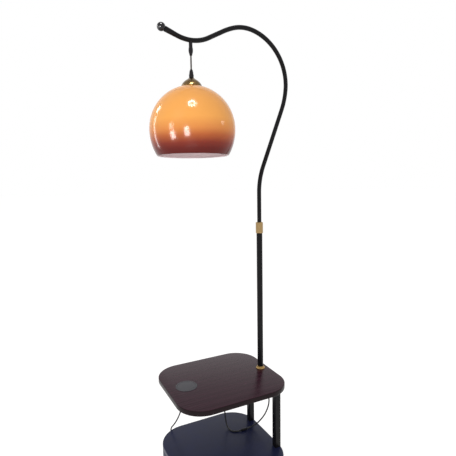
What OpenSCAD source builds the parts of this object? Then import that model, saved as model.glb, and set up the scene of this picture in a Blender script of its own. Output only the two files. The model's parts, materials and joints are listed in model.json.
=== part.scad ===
// Floor lamp with a side table, a charging pad and a two-drawer cabinet.
// Millimetres. +Z up, floor at z = 0, origin under the middle of the tabletop.
// +X runs along the table towards the pole; the viewer of the photograph stands at -X, -Y.
//
// The piece that takes most skill is the swan neck: one thin tube drawn through a chain of
// tangent bends (neck_bends), with the ball finial and the hanging glass set out from it.

/* [Table] */
// Height of the tabletop above the floor
table_height = 540; // [460:5:620]
// Length of the tabletop, along X
table_length = 354; // [300:2:420]
// Depth of the tabletop, along Y
table_depth = 316; // [270:2:360]
// Corner radius of the tabletop
table_corner = 80; // [50:1:95]
// Thickness of the tabletop board
table_board = 16; // [12:1:22]
// Rounding of the tabletop's edges
table_edge = 2; // [0.5:0.5:3]

/* [Cabinet] */
// Side of the square cabinet
cabinet_side = 340; // [330:2:400]
// Corner radius of the cabinet
cabinet_corner = 92; // [60:1:100]
// Clear height between the cabinet and the tabletop board
cabinet_gap = 216; // [150:1:260]
// Thickness of the cabinet's boards
cabinet_board = 15; // [12:0.5:18]
// Thickness of the curved sheet-steel skin
skin = 2; // [1.5:0.1:2.4]
// Height of the recessed plinth
plinth_height = 18; // [12:1:30]
// Inset of the plinth from the cabinet's sides
plinth_inset = 24; // [15:1:40]

/* [Drawers] */
// Width of a drawer box
drawer_width = 236; // [200:1:244]
// Depth of a drawer box, front to back
drawer_depth = 280; // [235:1:286]
// Thickness of the curved drawer fronts
front_thickness = 14; // [11:0.5:17]
// Gap round a drawer front
front_gap = 2.5; // [1.5:0.1:3.5]
// Thickness of the drawer's sides and back
drawer_wall = 10; // [8:0.5:12]
// Travel of a drawer
drawer_travel = 190; // [120:5:200]
// Diameter of the drawer knobs
knob_d = 22; // [16:1:28]

/* [Posts] */
// Side of the square posts
post_side = 20; // [16:1:24]
// Wall of the posts
post_wall = 1.5; // [1:0.1:2]
// Distance of each post from the middle line, along Y
post_spread = 84; // [60:1:95]
// Inset of the posts from the cabinet's edge
post_inset = 2; // [1:0.5:4]
// Thickness of the steel bracket under the tabletop
bracket_plate = 3; // [2:0.5:5]

/* [Pole] */
// Distance of the pole from the table's middle, along X
pole_x = 150; // [125:1:158]
// Diameter of the pole
pole_d = 19; // [16:0.5:24]
// Wall of the pole
pole_wall = 1.2; // [0.8:0.1:1.6]
// Height of the brass ferrule's foot above the tabletop
ferrule_rise = 457; // [380:1:540]
// Height of the ferrule
ferrule_height = 36; // [30:1:43]
// Diameter of the ferrule
ferrule_d = 23.4; // [22:0.2:28]
// Diameter of the brass foot collar
collar_d = 30; // [26:1:36]

/* [Neck] */
// Diameter of the neck tube
neck_d = 13.5; // [11:0.5:14]
// Wall of the neck tube
neck_wall = 1; // [0.8:0.1:1.3]
// Diameter of the ball finial
ball_d = 24; // [20:1:30]
// Size of the whole swan neck, as a share of the one in the photograph
neck_scale = 1; // [0.84:0.01:1.2]

/* [Shade] */
// Diameter of the glass shade
shade_d = 250; // [210:5:300]
// Drop of the shade's rim below its widest line
shade_drop = 75; // [62:1:90]
// Fullness of the lower half: 1 is a sphere
shade_fullness = 1.1; // [1:0.01:1.25]
// Thickness of the glass
glass = 3; // [2.5:0.1:3.6]
// Length of the bare pendant cord
pendant_length = 38; // [32:1:46]
// Diameter of the bronze cap on the glass
cap_d = 61; // [56:1:70]

/* [Charger] */
// Diameter of the charging pad
pad_d = 66; // [60:1:75]
// Distance of the pad from the table's middle, along -X
pad_x = 116; // [95:1:120]

/* [Cords] */
// Diameter of both cords
cord_d = 4.6; // [4.2:0.1:5.4]
// Turns in the stored coil
coil_turns = 6; // [4:1:8]

/* [Hidden] */
$fn = 96;
tiny = 0.01;              // lets a cutting tool pass clean through a face
run_fit = 0.05;           // radial clearance of turning fits
loose = 0.3;              // clearance of loose fits

table_under = table_height - table_board;
cabinet_top = table_under - cabinet_gap;
cabinet_floor = plinth_height;
inside_bottom = cabinet_floor + cabinet_board;
inside_top = cabinet_top - cabinet_board;
inside_height = inside_top - inside_bottom;
cabinet_half = cabinet_side / 2;
cabinet_edge = 3;                         // chamfer round the cabinet's top

// Drawers: two equal ones between the bottom board and the top board.
drawer_pitch = inside_height / 2;
front_height = drawer_pitch - front_gap;
front_inset = 20;
front_half = cabinet_half - front_inset;           // half width of the curved fronts
// How far forward the inner face of the curved fronts reaches at a distance x from the middle
function front_inside(x) =
    -(cabinet_half - cabinet_corner)
    - sqrt(pow(cabinet_corner - front_thickness, 2) - pow(x - (cabinet_half - cabinet_corner), 2));
box_setback = 1;                          // of the box behind its curved front
drawer_front_y = front_inside(drawer_width / 2) + box_setback;
slide_space = 12.7;                       // room for a slide on each side of the box
slide_height = 36;
slide_steel = 1.2;
upright_inner = drawer_width / 2 + slide_space;
upright_thickness = 12;
upright_outer = upright_inner + upright_thickness;
upright_setback = 3;                      // behind the fronts, and past the boxes' backs
upright_front_y = front_inside(upright_outer) + upright_setback;
drawer_back_y = drawer_front_y + drawer_depth;
upright_back_y = drawer_back_y + upright_setback;
slide_length = 250;
slide_setback = 4;
slide_front_y = upright_front_y + slide_setback;
fixed_play = 2.4;                         // between a fixed channel and the drawer
moving_play = 3;                          // between a moving channel and the upright
fixed_flange = slide_space - fixed_play;
moving_flange = slide_space - moving_play;
moving_height = slide_height - 2 * slide_steel - 2 * loose;
divider_thickness = 12;
drawer_box_height = 78;
drawer_box_lift = 12;                     // box bottom above the compartment's floor
drawer_bottom_thickness = 4;
drawer_bottom_lift = 6;
screw_d = 4;
screw_head_d = 7.6;
screw_head = 2.4;
spacer_half = 60;                         // half width of the block behind a front
knob_screw_bite = 14;
knob_foot = 2;
knob_stem = 12;                           // from the front to the flare under the head
knob_flare = 4;
knob_head = 5;
knob_chamfer = 1.5;

// Posts and bracket
post_x = cabinet_half - post_inset - post_side / 2;
post_top = table_under - bracket_plate;
plug_height = 24;
plug_side = post_side - 2 * post_wall;
bolt_d = 6;
bolt_head_d = 11;
bolt_head = 4;
bolt_short = 4;                           // of the top of its plug
bolt_key = 5;
bracket_back = post_x + post_side / 2;    // the bracket's long edges, along X
bracket_reach = 17;                       // of the bracket past the pole's middle
bracket_front = pole_x - bracket_reach;
bracket_half = post_spread + post_side / 2;
bracket_screw_y = 46;
bracket_screw_d = 4;
bracket_screw_bite = 11;
bracket_screw_front = 7;                  // from the bracket's edges
bracket_screw_back = 8;
bracket_screws_at = [
    for (x = [bracket_front + bracket_screw_front, bracket_back - bracket_screw_back], sy = [-1, 1])
        [x, sy * bracket_screw_y],
];

// Pole
pole_bore = pole_d - 2 * pole_wall;
ferrule_foot = table_height + ferrule_rise;
ferrule_top = ferrule_foot + ferrule_height;
pole_top = ferrule_foot + ferrule_height / 2;
stem_d = 10;
stem_nut = 6;
stem_nut_flats = 17;
stem_washer = 1.5;
stem_washer_r = 12;
stem_tail = 9;                            // of the stem below its nut
stem_up = 16;
stem_bottom = post_top - stem_washer - stem_nut - stem_tail;
insert_height = 20;
bush_height = 58;
bush_ledge = 4;
bush_bore = neck_d + 2 * run_fit;
neck_foot = pole_top - bush_height + bush_ledge;
collar_height = 8;

// Swan neck: each row is a straight length, then a bend's radius and its turn in degrees,
// to the left when positive. It starts straight up at the ferrule's top.
neck_bends = [
    [95, 230, -21.5],
    [195, 240, 15.5],
    [0, 156, 84],
    [0, 125, 30],
    [0, 215, 10],
    [56, 120, -48],
];
neck_tip_length = 48;
neck_r = neck_d / 2;
neck_bore_r = neck_r - neck_wall;
ball_r = ball_d / 2;
ball_seat = sqrt(ball_r * ball_r - neck_bore_r * neck_bore_r);
sleeve_length = 34;
sleeve_thin = 0.35;                       // wall of the sleeve at its two ends
sleeve_thick = 1.2;
spigot_length = 14;
spigot_root = 2;                          // of the spigot inside the ball
cord_hole_r = cord_d / 2 + 1;
neck_hair = 0.02;
neck_lap = 0.5;

// The neck's points and headings, worked out along neck_bends
function ahead(p, h, s) = p + s * [cos(h), sin(h)];
function left_of(h) = [-sin(h), cos(h)];
function bend_centre(p, h, r, t) = p + sign(t) * r * left_of(h);
function bend_end(p, h, r, t) =
    bend_centre(p, h, r, t) - sign(t) * r * left_of(h + t);
function neck_state(i) =
    i == 0
        ? [[pole_x, ferrule_top], 90]
        : let (
            s = neck_state(i - 1),
            b = neck_bends[i - 1],
            q = ahead(s[0], s[1], b[0] * neck_scale)
        ) [bend_end(q, s[1], b[1] * neck_scale, b[2]), s[1] + b[2]];
neck_last = neck_state(len(neck_bends));
ball_centre = ahead(neck_last[0], neck_last[1], neck_tip_length * neck_scale);

// The hook's lowest point, where the last bend's heading is level
hook_bend = neck_bends[len(neck_bends) - 1];
hook_start = neck_state(len(neck_bends) - 1);
hook_entry = ahead(hook_start[0], hook_start[1], hook_bend[0] * neck_scale);
hook_centre = bend_centre(hook_entry, hook_start[1], hook_bend[1] * neck_scale, hook_bend[2]);
hook_x = hook_centre[0];
hook_z = hook_centre[1] - hook_bend[1] * neck_scale;

// Pendant, from the neck's underside down
grip_length = 36;
grip_top_r = 5.3;
grip_belly_r = 6.4;
grip_mouth_r = 3.9;
pivot_lift = 3;                           // pivot of the swing above the grip's mouth
grip_bottom = hook_z - neck_r - grip_length;
swing_z = grip_bottom + pivot_lift;
lower_grip_top = grip_bottom - pendant_length;
lower_grip_height = 24;
cap_top = lower_grip_top - lower_grip_height;
cap_r = cap_d / 2;
cap_wall = 1.2;
cap_neck_r = 7;
nipple_r = 4.2;
nipple_wall = 1.4;
nipple_bite = 8;                          // into the lower grip and the lampholder
cord_bite = 10;                           // foot of the cord above the cap
cap_height = 25.4;
cap_crown = 3;                            // metal left round the nipple's hole
cap_rim = 1.4;
// The cap's outer profile above its rim: [share of its radius, share of its height]
cap_dome = [[0.94, 0.22], [0.80, 0.46], [0.62, 0.66], [0.46, 0.79], [0.29, 0.94]];
cap_seat = cap_top - cap_height;
shade_r = shade_d / 2;
shade_z = cap_seat - sqrt(pow(shade_r, 2) - pow(cap_r - cap_wall, 2));
holder_r = 19.5;
holder_height = 48;
holder_rise = 7;                          // into the cap
holder_chamfer = 2;
holder_top = cap_seat + holder_rise;
holder_bottom = holder_top - holder_height;
ring_r = 28;
ring_height = 5;
ring_top = shade_z + sqrt(pow(shade_r - glass, 2) - pow(ring_r, 2));
bulb_socket_r = 13.6;
bulb_socket_depth = 34;
bulb_cap_r = 13.3;
bulb_cap_height = 27;
bulb_r = 30;
bulb_shoulder = 38;                       // from the globe's middle up to the cap
bulb_proud = 1;                           // of the cap below the holder
bulb_seat = holder_bottom - bulb_proud;
insulator_r = 8;
insulator_top_r = 5;
insulator_height = 3;
contact_r = 4;
contact_height = bulb_socket_depth - bulb_cap_height - insulator_height + bulb_proud;

// Charger, under the pad
pad_lip = 1.5;
pad_chamfer = 0.5;
pad_overhang = 3;                         // of the pad over its housing
housing_r = pad_d / 2 - pad_overhang;
housing_wall = 2;
housing_drop = 18;                        // below the tabletop board
housing_bottom = table_under - housing_drop;
outlet_drop = 12;                         // of the leads below the tabletop board
outlet_z = table_under - outlet_drop;
nut_flange = 6;
nut_r = housing_r + nut_flange;
nut_height = 5;
nut_grip_r = 3;                           // of the grooves round the nut
nut_grip_out = 1.2;
winding_height = 4;
winding_hole_r = 10;
board_thickness = 1.6;
chip = [18, 12, 6];                       // the parts on the board, up to the winding

// Cords: routes are hand-chosen points, each set out from the piece it lies on or leaves.
cord_r = cord_d / 2;
cord_sides = 10;
lie = cord_r + 0.2;                       // height of a lying cord's middle
relief_length = 22;
pad_outlet = housing_r + relief_length;

// Lamp lead: from the charger's +X outlet to the pole's stem, through its connector
lamp_route = [
    [-pad_x + pad_outlet, 0, outlet_z],
    [-pad_x + pad_outlet + 13, 0.8, outlet_z + 0.4],
    [-31, 6.5, table_under - 8],
    [-10, 22, table_under - lie - 1],
    [8, 40, table_under - lie - 1],
    [20, 52, table_under - 9.5],
    [28.5, 60, table_under - 25],
    [36.5, 68, table_under - 57],
    [45, 76, table_under - 104],
    [51, 80, cabinet_top + 72],
    [55, 82, cabinet_top + 44],
    [57.2, 81.4, cabinet_top + 24],
    [58, 78.6, cabinet_top + 13.6],
    [59.3, 71.5, cabinet_top + 5.9],
    [61.2, 61.4, cabinet_top + 2.9],
    [64.6, 51.6, cabinet_top + lie],
    [71.4, 44.6, cabinet_top + lie],
    [80.8, 40.5, cabinet_top + lie],
    [92, 38.4, cabinet_top + 3.4],
    [104, 37, cabinet_top + 4],
    [117, 37.3, cabinet_top + 4],
    [130, 38, cabinet_top + 4.6],
    [141.5, 35, cabinet_top + 9],
    [149.5, 27.8, cabinet_top + 17.5],
    [154.5, 18, cabinet_top + 30],
    [158.5, 6.5, cabinet_top + 46],
    [163, -6, cabinet_top + 67],
    [168, -15.5, cabinet_top + 92],
    [170.8, -19.5, table_under - 101],
    [170, -18.5, table_under - 80],
    [165.5, -14, table_under - 63],
    [pole_x + 8.5, -7.5, table_under - 49],
    [pole_x + 2.6, -2.2, table_under - 37],
    [pole_x, 0, table_under - 25],
    [pole_x, 0, stem_bottom + 6],
];
connector_x = 104;
connector_y = 37;
connector_length = 26;
connector_r = 4;

// Supply lead: from the charger's +Y outlet, down behind the cabinet, to the coil and the plug
coil_x = 20;
coil_y = cabinet_half + 62;
coil_mid_r = 27;
coil_columns = 3;
coil_rows = ceil(coil_turns / coil_columns);
switch_x = -52;
switch_y = cabinet_half + 36;
switch_length = 58;
switch_width = 26;
switch_height = 18;
switch_cord_z = 7;
rocker_long = 10;                         // half length and half width of its recess
rocker_wide = 6.5;
rocker_depth = 7;
rocker_axis = 4;                          // of the pin above the recess's floor
rocker_pin = 1.2;
rocker_tilt = 7;
pin_bite = 2.4;                           // of the pin into each side of the switch
pin_half = rocker_wide + pin_bite;
supply_route = [
    [-pad_x, pad_outlet, outlet_z],
    [-pad_x, pad_outlet + 8, outlet_z - 0.4],
    [-pad_x, pad_outlet + 17.5, outlet_z - 3.8],
    [-115.7, pad_outlet + 24.8, outlet_z - 11.2],
    [-114.8, pad_outlet + 28.6, outlet_z - 23],
    [-112.5, 83, outlet_z - 42],
    [-108, 86.5, outlet_z - 63],
    [-103.6, 92, outlet_z - 86],
    [-102.3, 101, cabinet_top + 95],
    [-105, 113.5, cabinet_top + 71],
    [-110, 129, cabinet_top + 45],
    [-114, cabinet_half - 24, cabinet_top + 24],
    [-115.8, cabinet_half - 11, cabinet_top + 10.6],
    [-116, cabinet_half - 3, cabinet_top - 2],
    [-115, cabinet_half + 1, cabinet_top - 17],
    [-113, cabinet_half + 2, cabinet_top - 40],
    [-111, cabinet_half + 1, 200],
    [-111, cabinet_half + 1, 110],
    [-111, cabinet_half + 1, 60],
    [-111, cabinet_half + 2, 40],
    [-110.5, cabinet_half + 6, 25],
    [-109.5, cabinet_half + 13, 13.5],
    [-106.5, cabinet_half + 22, 8.2],
    [-101, switch_y - 6.5, switch_cord_z],
    [-92, switch_y - 1.6, switch_cord_z],
    [switch_x - switch_length / 2, switch_y, switch_cord_z],
    [switch_x, switch_y, switch_cord_z],
    [switch_x + switch_length / 2, switch_y, switch_cord_z],
    [switch_x + switch_length / 2 + 12, switch_y - 1, 5],
    [coil_x - 14, switch_y - 4, lie],
    [coil_x, coil_y - coil_mid_r - cord_d, lie],
];
coil_in_r = coil_mid_r - coil_columns * cord_d / 2;
coil_out_r = coil_mid_r + coil_columns * cord_d / 2;
coil_height = coil_rows * cord_d;
plug_x = coil_x + 59;
plug_y = coil_y - 2;
plug_z = 10;
plug_length = 34;
plug_pins = 17;
tail_route = [
    [coil_x, coil_y - coil_mid_r - cord_d, 6.9],
    [coil_x + 14, coil_y - 31.4, 6.6],
    [coil_x + 28, coil_y - 30, 6.2],
    [coil_x + 41, coil_y - 26, 7],
    [coil_x + 51, coil_y - 19, 8.5],
    [coil_x + 57, coil_y - 10, 10],
    [plug_x, plug_y, plug_z],
];

// One point on the smooth curve through points a, b, c, d, a share t of the way from b to c
function smooth_point(a, b, c, d, t) =
    0.5 * (2 * b + (c - a) * t + (2 * a - 5 * b + 4 * c - d) * t * t
        + (3 * b - a - 3 * c + d) * t * t * t);
function smooth_route(p, steps) = [
    for (i = [0 : len(p) - 2], k = [0 : steps - 1])
        smooth_point(p[max(i - 1, 0)], p[i], p[i + 1], p[min(i + 2, len(p) - 1)], k / steps),
    p[len(p) - 1],
];
function unit(v) = v / norm(v);
// The direction of travel at each point of a route
function headings(p) = [
    for (i = [0 : len(p) - 1]) unit(p[min(i + 1, len(p) - 1)] - p[max(i - 1, 0)]),
];
// A side direction carried along the route without twist
function sides_along(h, first) = [
    for (i = 0, s = first; i < len(h); i = i + 1, s = i < len(h) ? unit(s - (s * h[i]) * h[i]) : s)
        unit(s - (s * h[i]) * h[i]),
];
function ring_at(p, h, s, r, n) = [
    for (k = [0 : n - 1]) p + r * (cos(360 * k / n) * s + sin(360 * k / n) * cross(h, s)),
];

// ---------- shared shapes ----------

// A rectangle with round corners, from exact circles and rectangles
module rounded_plan(length, depth, radius) {
    square([length - 2 * radius, depth], center = true);
    square([length, depth - 2 * radius], center = true);
    for (sx = [-1, 1], sy = [-1, 1])
        translate([sx * (length / 2 - radius), sy * (depth / 2 - radius)])
            circle(r = radius);
}

// The cabinet's plan, drawn in by an inset
module cabinet_plan(inset = 0) {
    rounded_plan(
        cabinet_side - 2 * inset,
        cabinet_side - 2 * inset,
        cabinet_corner - inset
    );
}

module tube(outer_r, inner_r, height) {
    difference() {
        cylinder(r = outer_r, h = height);
        translate([0, 0, -tiny]) cylinder(r = inner_r, h = height + 2 * tiny);
    }
}

module box_between(low, high) {
    translate(low) cube(high - low);
}

// A closed tube of one piece along a route
module cord_tube(route, steps) {
    p = smooth_route(route, steps);
    h = headings(p);
    first = unit(cross(h[0], [0.36, 0.48, 0.8]));
    s = sides_along(h, first);
    n = cord_sides;
    rings = [for (i = [0 : len(p) - 1]) each ring_at(p[i], h[i], s[i], cord_r, n)];
    walls = [
        for (i = [0 : len(p) - 2], k = [0 : n - 1])
            each [
                [i * n + k, i * n + n + k, i * n + (k + 1) % n],
                [i * n + (k + 1) % n, i * n + n + k, i * n + n + (k + 1) % n],
            ],
    ];
    first_end = [for (k = [0 : n - 1]) k];
    last_end = [for (k = [0 : n - 1]) len(p) * n - 1 - k];
    polyhedron(points = rings, faces = concat(walls, [first_end, last_end]));
}

// ---------- cabinet ----------

module plinth() {
    color("black") linear_extrude(plinth_height) cabinet_plan(plinth_inset);
}

module cabinet_bottom() {
    color("dimgray")
    translate([0, 0, cabinet_floor])
        linear_extrude(cabinet_board) cabinet_plan(skin);
}

module skin_ring(low, high) {
    difference() {
        linear_extrude(high - low) cabinet_plan();
        translate([0, 0, -tiny]) linear_extrude(high - low + 2 * tiny) cabinet_plan(skin);
    }
}

module cabinet_skin() {
    opening = front_half + front_gap / 2;
    color("darkslategray")
    difference() {
        translate([0, 0, cabinet_floor]) skin_ring(cabinet_floor, inside_top);
        box_between(
            [-opening, -cabinet_side, inside_bottom],
            [opening, -cabinet_half + cabinet_corner, inside_top + tiny]
        );
    }
}

// The board on top, chamfered round its upper edge
module cabinet_top_board() {
    color("slategray")
    difference() {
        translate([0, 0, inside_top]) linear_extrude(cabinet_board) cabinet_plan();
        translate([0, 0, cabinet_top - cabinet_edge])
            edge_cutter(cabinet_side, cabinet_side, cabinet_corner, cabinet_edge);
        for (sy = [-1, 1])
            translate([post_x, sy * post_spread, inside_top - tiny])
                cylinder(d = bolt_d, h = cabinet_board + 2 * tiny);
    }
}

// What a 45-degree chamfer takes off the top edge of a board with a rounded plan
module edge_cutter(length, depth, radius, edge) {
    spill = 1;
    difference() {
        linear_extrude(edge + tiny)
            rounded_plan(length + 2 * spill, depth + 2 * spill, radius + spill);
        chamfer_core(length, depth, radius, edge);
    }
}

module chamfer_core(length, depth, radius, edge) {
    corner_x = length / 2 - radius;
    corner_y = depth / 2 - radius;
    top = edge + 2 * tiny;
    for (sx = [-1, 1], sy = [-1, 1])
        translate([sx * corner_x, sy * corner_y, -tiny])
            cylinder(r1 = radius, r2 = radius - top, h = top);
    translate([0, 0, -tiny]) wedge_bar(length, 2 * corner_y, top);
    rotate([0, 0, 90]) translate([0, 0, -tiny]) wedge_bar(depth, 2 * corner_x, top);
}

// A bar of trapezium section: full width below, narrower by its height on each side above
module wedge_bar(width, run, top) {
    rotate([90, 0, 0])
        translate([0, 0, -run / 2])
            linear_extrude(run)
                polygon([
                    [-width / 2, 0], [width / 2, 0],
                    [width / 2 - top, top], [-width / 2 + top, top],
                ]);
}

module cabinet_uprights() {
    color("dimgray")
    for (side = [-1, 1])
        box_between(
            [min(side * upright_inner, side * upright_outer), upright_front_y, inside_bottom],
            [max(side * upright_inner, side * upright_outer), upright_back_y, inside_top]
        );
}

module cabinet_divider() {
    color("dimgray")
    box_between(
        [-upright_inner, upright_front_y, inside_bottom + drawer_pitch - divider_thickness / 2],
        [upright_inner, upright_back_y, inside_bottom + drawer_pitch + divider_thickness / 2]
    );
}

// Height of a drawer compartment's reference line: 0 is the lower drawer, 1 the upper
function drawer_low(level) = inside_bottom + level * drawer_pitch;
function box_low(level) =
    drawer_low(level) + drawer_box_lift + (level == 1 ? divider_thickness / 2 : 0);
function slide_mid(level) = box_low(level) + drawer_box_height / 2;

// A channel of steel with its web at x = 0 and its flanges towards +X
module channel(height, flange, run) {
    difference() {
        box_between([0, 0, -height / 2], [flange, run, height / 2]);
        box_between(
            [slide_steel, -tiny, -height / 2 + slide_steel],
            [flange + tiny, run + tiny, height / 2 - slide_steel]
        );
    }
}

module drawer_slides_fixed() {
    color("silver")
    for (level = [0, 1], side = [-1, 1])
        translate([side * upright_inner, slide_front_y, slide_mid(level)])
            scale_side(-side) channel(slide_height, fixed_flange, slide_length);
}

// Turns a channel that opens towards +X so that it opens towards -X when side is -1
module scale_side(side) {
    if (side > 0) children();
    else mirror([1, 0, 0]) children();
}

module drawer_slides(level) {
    color("silver")
    for (side = [-1, 1])
        translate([side * drawer_width / 2, slide_front_y, slide_mid(level)])
            scale_side(side) channel(moving_height, moving_flange, slide_length);
}

module drawer_front(level) {
    low = drawer_low(level) + front_gap / 2;
    color("darkslategray")
    difference() {
        intersection() {
            translate([0, 0, low]) linear_extrude(front_height)
                difference() {
                    cabinet_plan();
                    cabinet_plan(front_thickness);
                }
            box_between(
                [-front_half, -cabinet_side, low - tiny],
                [front_half, -cabinet_half + cabinet_corner, low + front_height + tiny]
            );
        }
        translate([0, -cabinet_half - tiny, slide_mid(level)])
            rotate([-90, 0, 0]) cylinder(d = screw_d, h = front_thickness + 2 * tiny);
    }
}

// Sides, back and front of a drawer box, with the spacer that carries the curved front
module drawer_box(level) {
    half = drawer_width / 2;
    low = box_low(level);
    high = low + drawer_box_height;
    inner_front = -cabinet_half + front_thickness;
    groove = drawer_bottom_thickness;
    color("burlywood")
    difference() {
        union() {
            for (side = [-1, 1])
                box_between(
                    [min(side * half, side * (half - drawer_wall)), drawer_front_y, low],
                    [max(side * half, side * (half - drawer_wall)), drawer_back_y, high]
                );
            box_between([-half, drawer_back_y - drawer_wall, low], [half, drawer_back_y, high]);
            box_between([-half, drawer_front_y, low], [half, drawer_front_y + drawer_wall, high]);
            box_between(
                [-spacer_half, inner_front, low],
                [spacer_half, drawer_front_y + tiny, high]
            );
        }
        box_between(
            [-half + drawer_wall / 2, drawer_front_y + drawer_wall / 2, low + drawer_bottom_lift],
            [half - drawer_wall / 2, drawer_back_y - drawer_wall / 2, low + drawer_bottom_lift + groove]
        );
        translate([0, inner_front - tiny, slide_mid(level)])
            rotate([-90, 0, 0]) cylinder(d = screw_d, h = knob_screw_bite);
    }
}

module drawer_base(level) {
    half = drawer_width / 2;
    low = box_low(level) + drawer_bottom_lift;
    color("burlywood")
    box_between(
        [-half + drawer_wall / 2, drawer_front_y + drawer_wall / 2, low],
        [half - drawer_wall / 2, drawer_back_y - drawer_wall / 2, low + drawer_bottom_thickness]
    );
}

// A turned knob with its own threaded shank, drawn about its axis and then laid along -Y
module drawer_knob(level) {
    r = knob_d / 2;
    head = knob_stem + knob_flare;
    shank = front_thickness + knob_screw_bite;
    color("goldenrod")
    translate([0, -cabinet_half, slide_mid(level)])
        rotate([90, 0, 0]) {
            cylinder(r = r * 0.62, h = knob_foot);
            cylinder(r = r * 0.38, h = knob_foot + knob_stem);
            translate([0, 0, knob_stem]) cylinder(r1 = r * 0.5, r2 = r, h = knob_flare);
            translate([0, 0, head]) cylinder(r = r, h = knob_head);
            translate([0, 0, head + knob_head])
                cylinder(r1 = r, r2 = r - knob_chamfer, h = knob_chamfer);
            translate([0, 0, knob_foot - shank]) cylinder(d = screw_d, h = shank - knob_foot / 2);
        }
}

module upper_drawer_front() drawer_front(1);
module upper_drawer_box() drawer_box(1);
module upper_drawer_base() drawer_base(1);
module upper_drawer_knob() drawer_knob(1);
module upper_drawer_slides() drawer_slides(1);
module lower_drawer_front() drawer_front(0);
module lower_drawer_box() drawer_box(0);
module lower_drawer_base() drawer_base(0);
module lower_drawer_knob() drawer_knob(0);
module lower_drawer_slides() drawer_slides(0);

// ---------- posts and bracket ----------

module post(side) {
    half = post_side / 2;
    inner = plug_side / 2;
    color("black")
    translate([post_x, side * post_spread, cabinet_top])
        difference() {
            box_between([-half, -half, 0], [half, half, post_top - cabinet_top]);
            box_between([-inner, -inner, -tiny], [inner, inner, post_top - cabinet_top + tiny]);
        }
}

module front_post() post(-1);
module back_post() post(1);

// Solid blocks welded into the posts' lower ends, with the bolts' holes
module post_plugs() {
    inner = plug_side / 2;
    color("gray")
    for (side = [-1, 1])
        translate([post_x, side * post_spread, cabinet_top])
            difference() {
                box_between([-inner, -inner, 0], [inner, inner, plug_height]);
                translate([0, 0, -tiny]) cylinder(d = bolt_d, h = plug_height + 2 * tiny);
            }
}

module post_bolts() {
    color("silver")
    for (side = [-1, 1])
        translate([post_x, side * post_spread, inside_top]) {
            cylinder(d = bolt_d, h = cabinet_board + plug_height - bolt_short);
            translate([0, 0, -bolt_head])
                difference() {
                    cylinder(d = bolt_head_d, h = bolt_head);
                    translate([0, 0, -tiny]) cylinder(d = bolt_key, h = bolt_head / 2, $fn = 6);
                }
        }
}

module table_bracket() {
    color("black")
    difference() {
        box_between([bracket_front, -bracket_half, post_top], [bracket_back, bracket_half, table_under]);
        translate([pole_x, 0, post_top - tiny]) cylinder(d = stem_d, h = bracket_plate + 2 * tiny);
        for (p = bracket_screws_at)
            translate([p[0], p[1], post_top - tiny])
                cylinder(d = bracket_screw_d, h = bracket_plate + 2 * tiny);
    }
}

module bracket_screws() {
    color("silver")
    for (p = bracket_screws_at)
        translate([p[0], p[1], post_top - screw_head]) {
            cylinder(d = screw_head_d, h = screw_head);
            cylinder(d = bracket_screw_d, h = screw_head + bracket_plate + bracket_screw_bite);
        }
}

// ---------- tabletop and charger ----------

module tabletop() {
    color("saddlebrown")
    difference() {
        translate([0, 0, table_under])
            linear_extrude(table_board) rounded_plan(table_length, table_depth, table_corner);
        translate([0, 0, table_height - table_edge])
            edge_cutter(table_length, table_depth, table_corner, table_edge);
        translate([0, 0, table_under + table_edge])
            mirror([0, 0, 1]) edge_cutter(table_length, table_depth, table_corner, table_edge);
        translate([pole_x, 0, table_under - tiny]) cylinder(d = stem_d, h = table_board + 2 * tiny);
        translate([-pad_x, 0, table_under - tiny])
            cylinder(r = housing_r, h = table_board + 2 * tiny);
        for (p = bracket_screws_at)
            translate([p[0], p[1], table_under - tiny])
                cylinder(d = bracket_screw_d, h = bracket_screw_bite + tiny);
    }
}

module charger_pad() {
    color("dimgray")
    translate([-pad_x, 0, table_height]) {
        cylinder(d = pad_d, h = pad_lip - pad_chamfer);
        translate([0, 0, pad_lip - pad_chamfer])
            cylinder(d1 = pad_d, d2 = pad_d - 2 * pad_chamfer, h = pad_chamfer);
    }
}

module charger_housing() {
    inner = housing_r - housing_wall;
    past = 2;
    color("black")
    translate([-pad_x, 0, housing_bottom])
        difference() {
            cylinder(r = housing_r, h = table_height - housing_bottom);
            translate([0, 0, housing_wall])
                cylinder(r = inner, h = table_height - housing_bottom);
            for (turn = [0, 90])
                rotate([0, 0, turn])
                    translate([inner - past, 0, outlet_z - housing_bottom])
                        rotate([0, 90, 0]) cylinder(r = cord_r, h = housing_wall + 2 * past);
        }
}

// The winding and its ferrite, close under the pad
module charger_coil() {
    inner = housing_r - housing_wall;
    color("orange")
    translate([-pad_x, 0, table_height - winding_height])
        tube(inner, winding_hole_r, winding_height);
}

module charger_board() {
    inner = housing_r - housing_wall;
    color("green")
    translate([-pad_x, 0, table_height - winding_height - chip[2]]) {
        cylinder(r = inner, h = board_thickness);
        box_between([-chip[0] / 2, -chip[1] / 2, 0], [chip[0] / 2, chip[1] / 2, chip[2]]);
    }
}

module charger_ring_nut() {
    grips = 12;
    color("black")
    translate([-pad_x, 0, table_under - nut_height])
        difference() {
            cylinder(r = nut_r, h = nut_height);
            translate([0, 0, -tiny]) cylinder(r = housing_r, h = nut_height + 2 * tiny);
            for (k = [0 : grips - 1])
                rotate([0, 0, 360 * (k + 0.5) / grips])
                    translate([nut_r + nut_grip_out, 0, -tiny])
                        cylinder(r = nut_grip_r, h = nut_height + 2 * tiny);
        }
}

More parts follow.
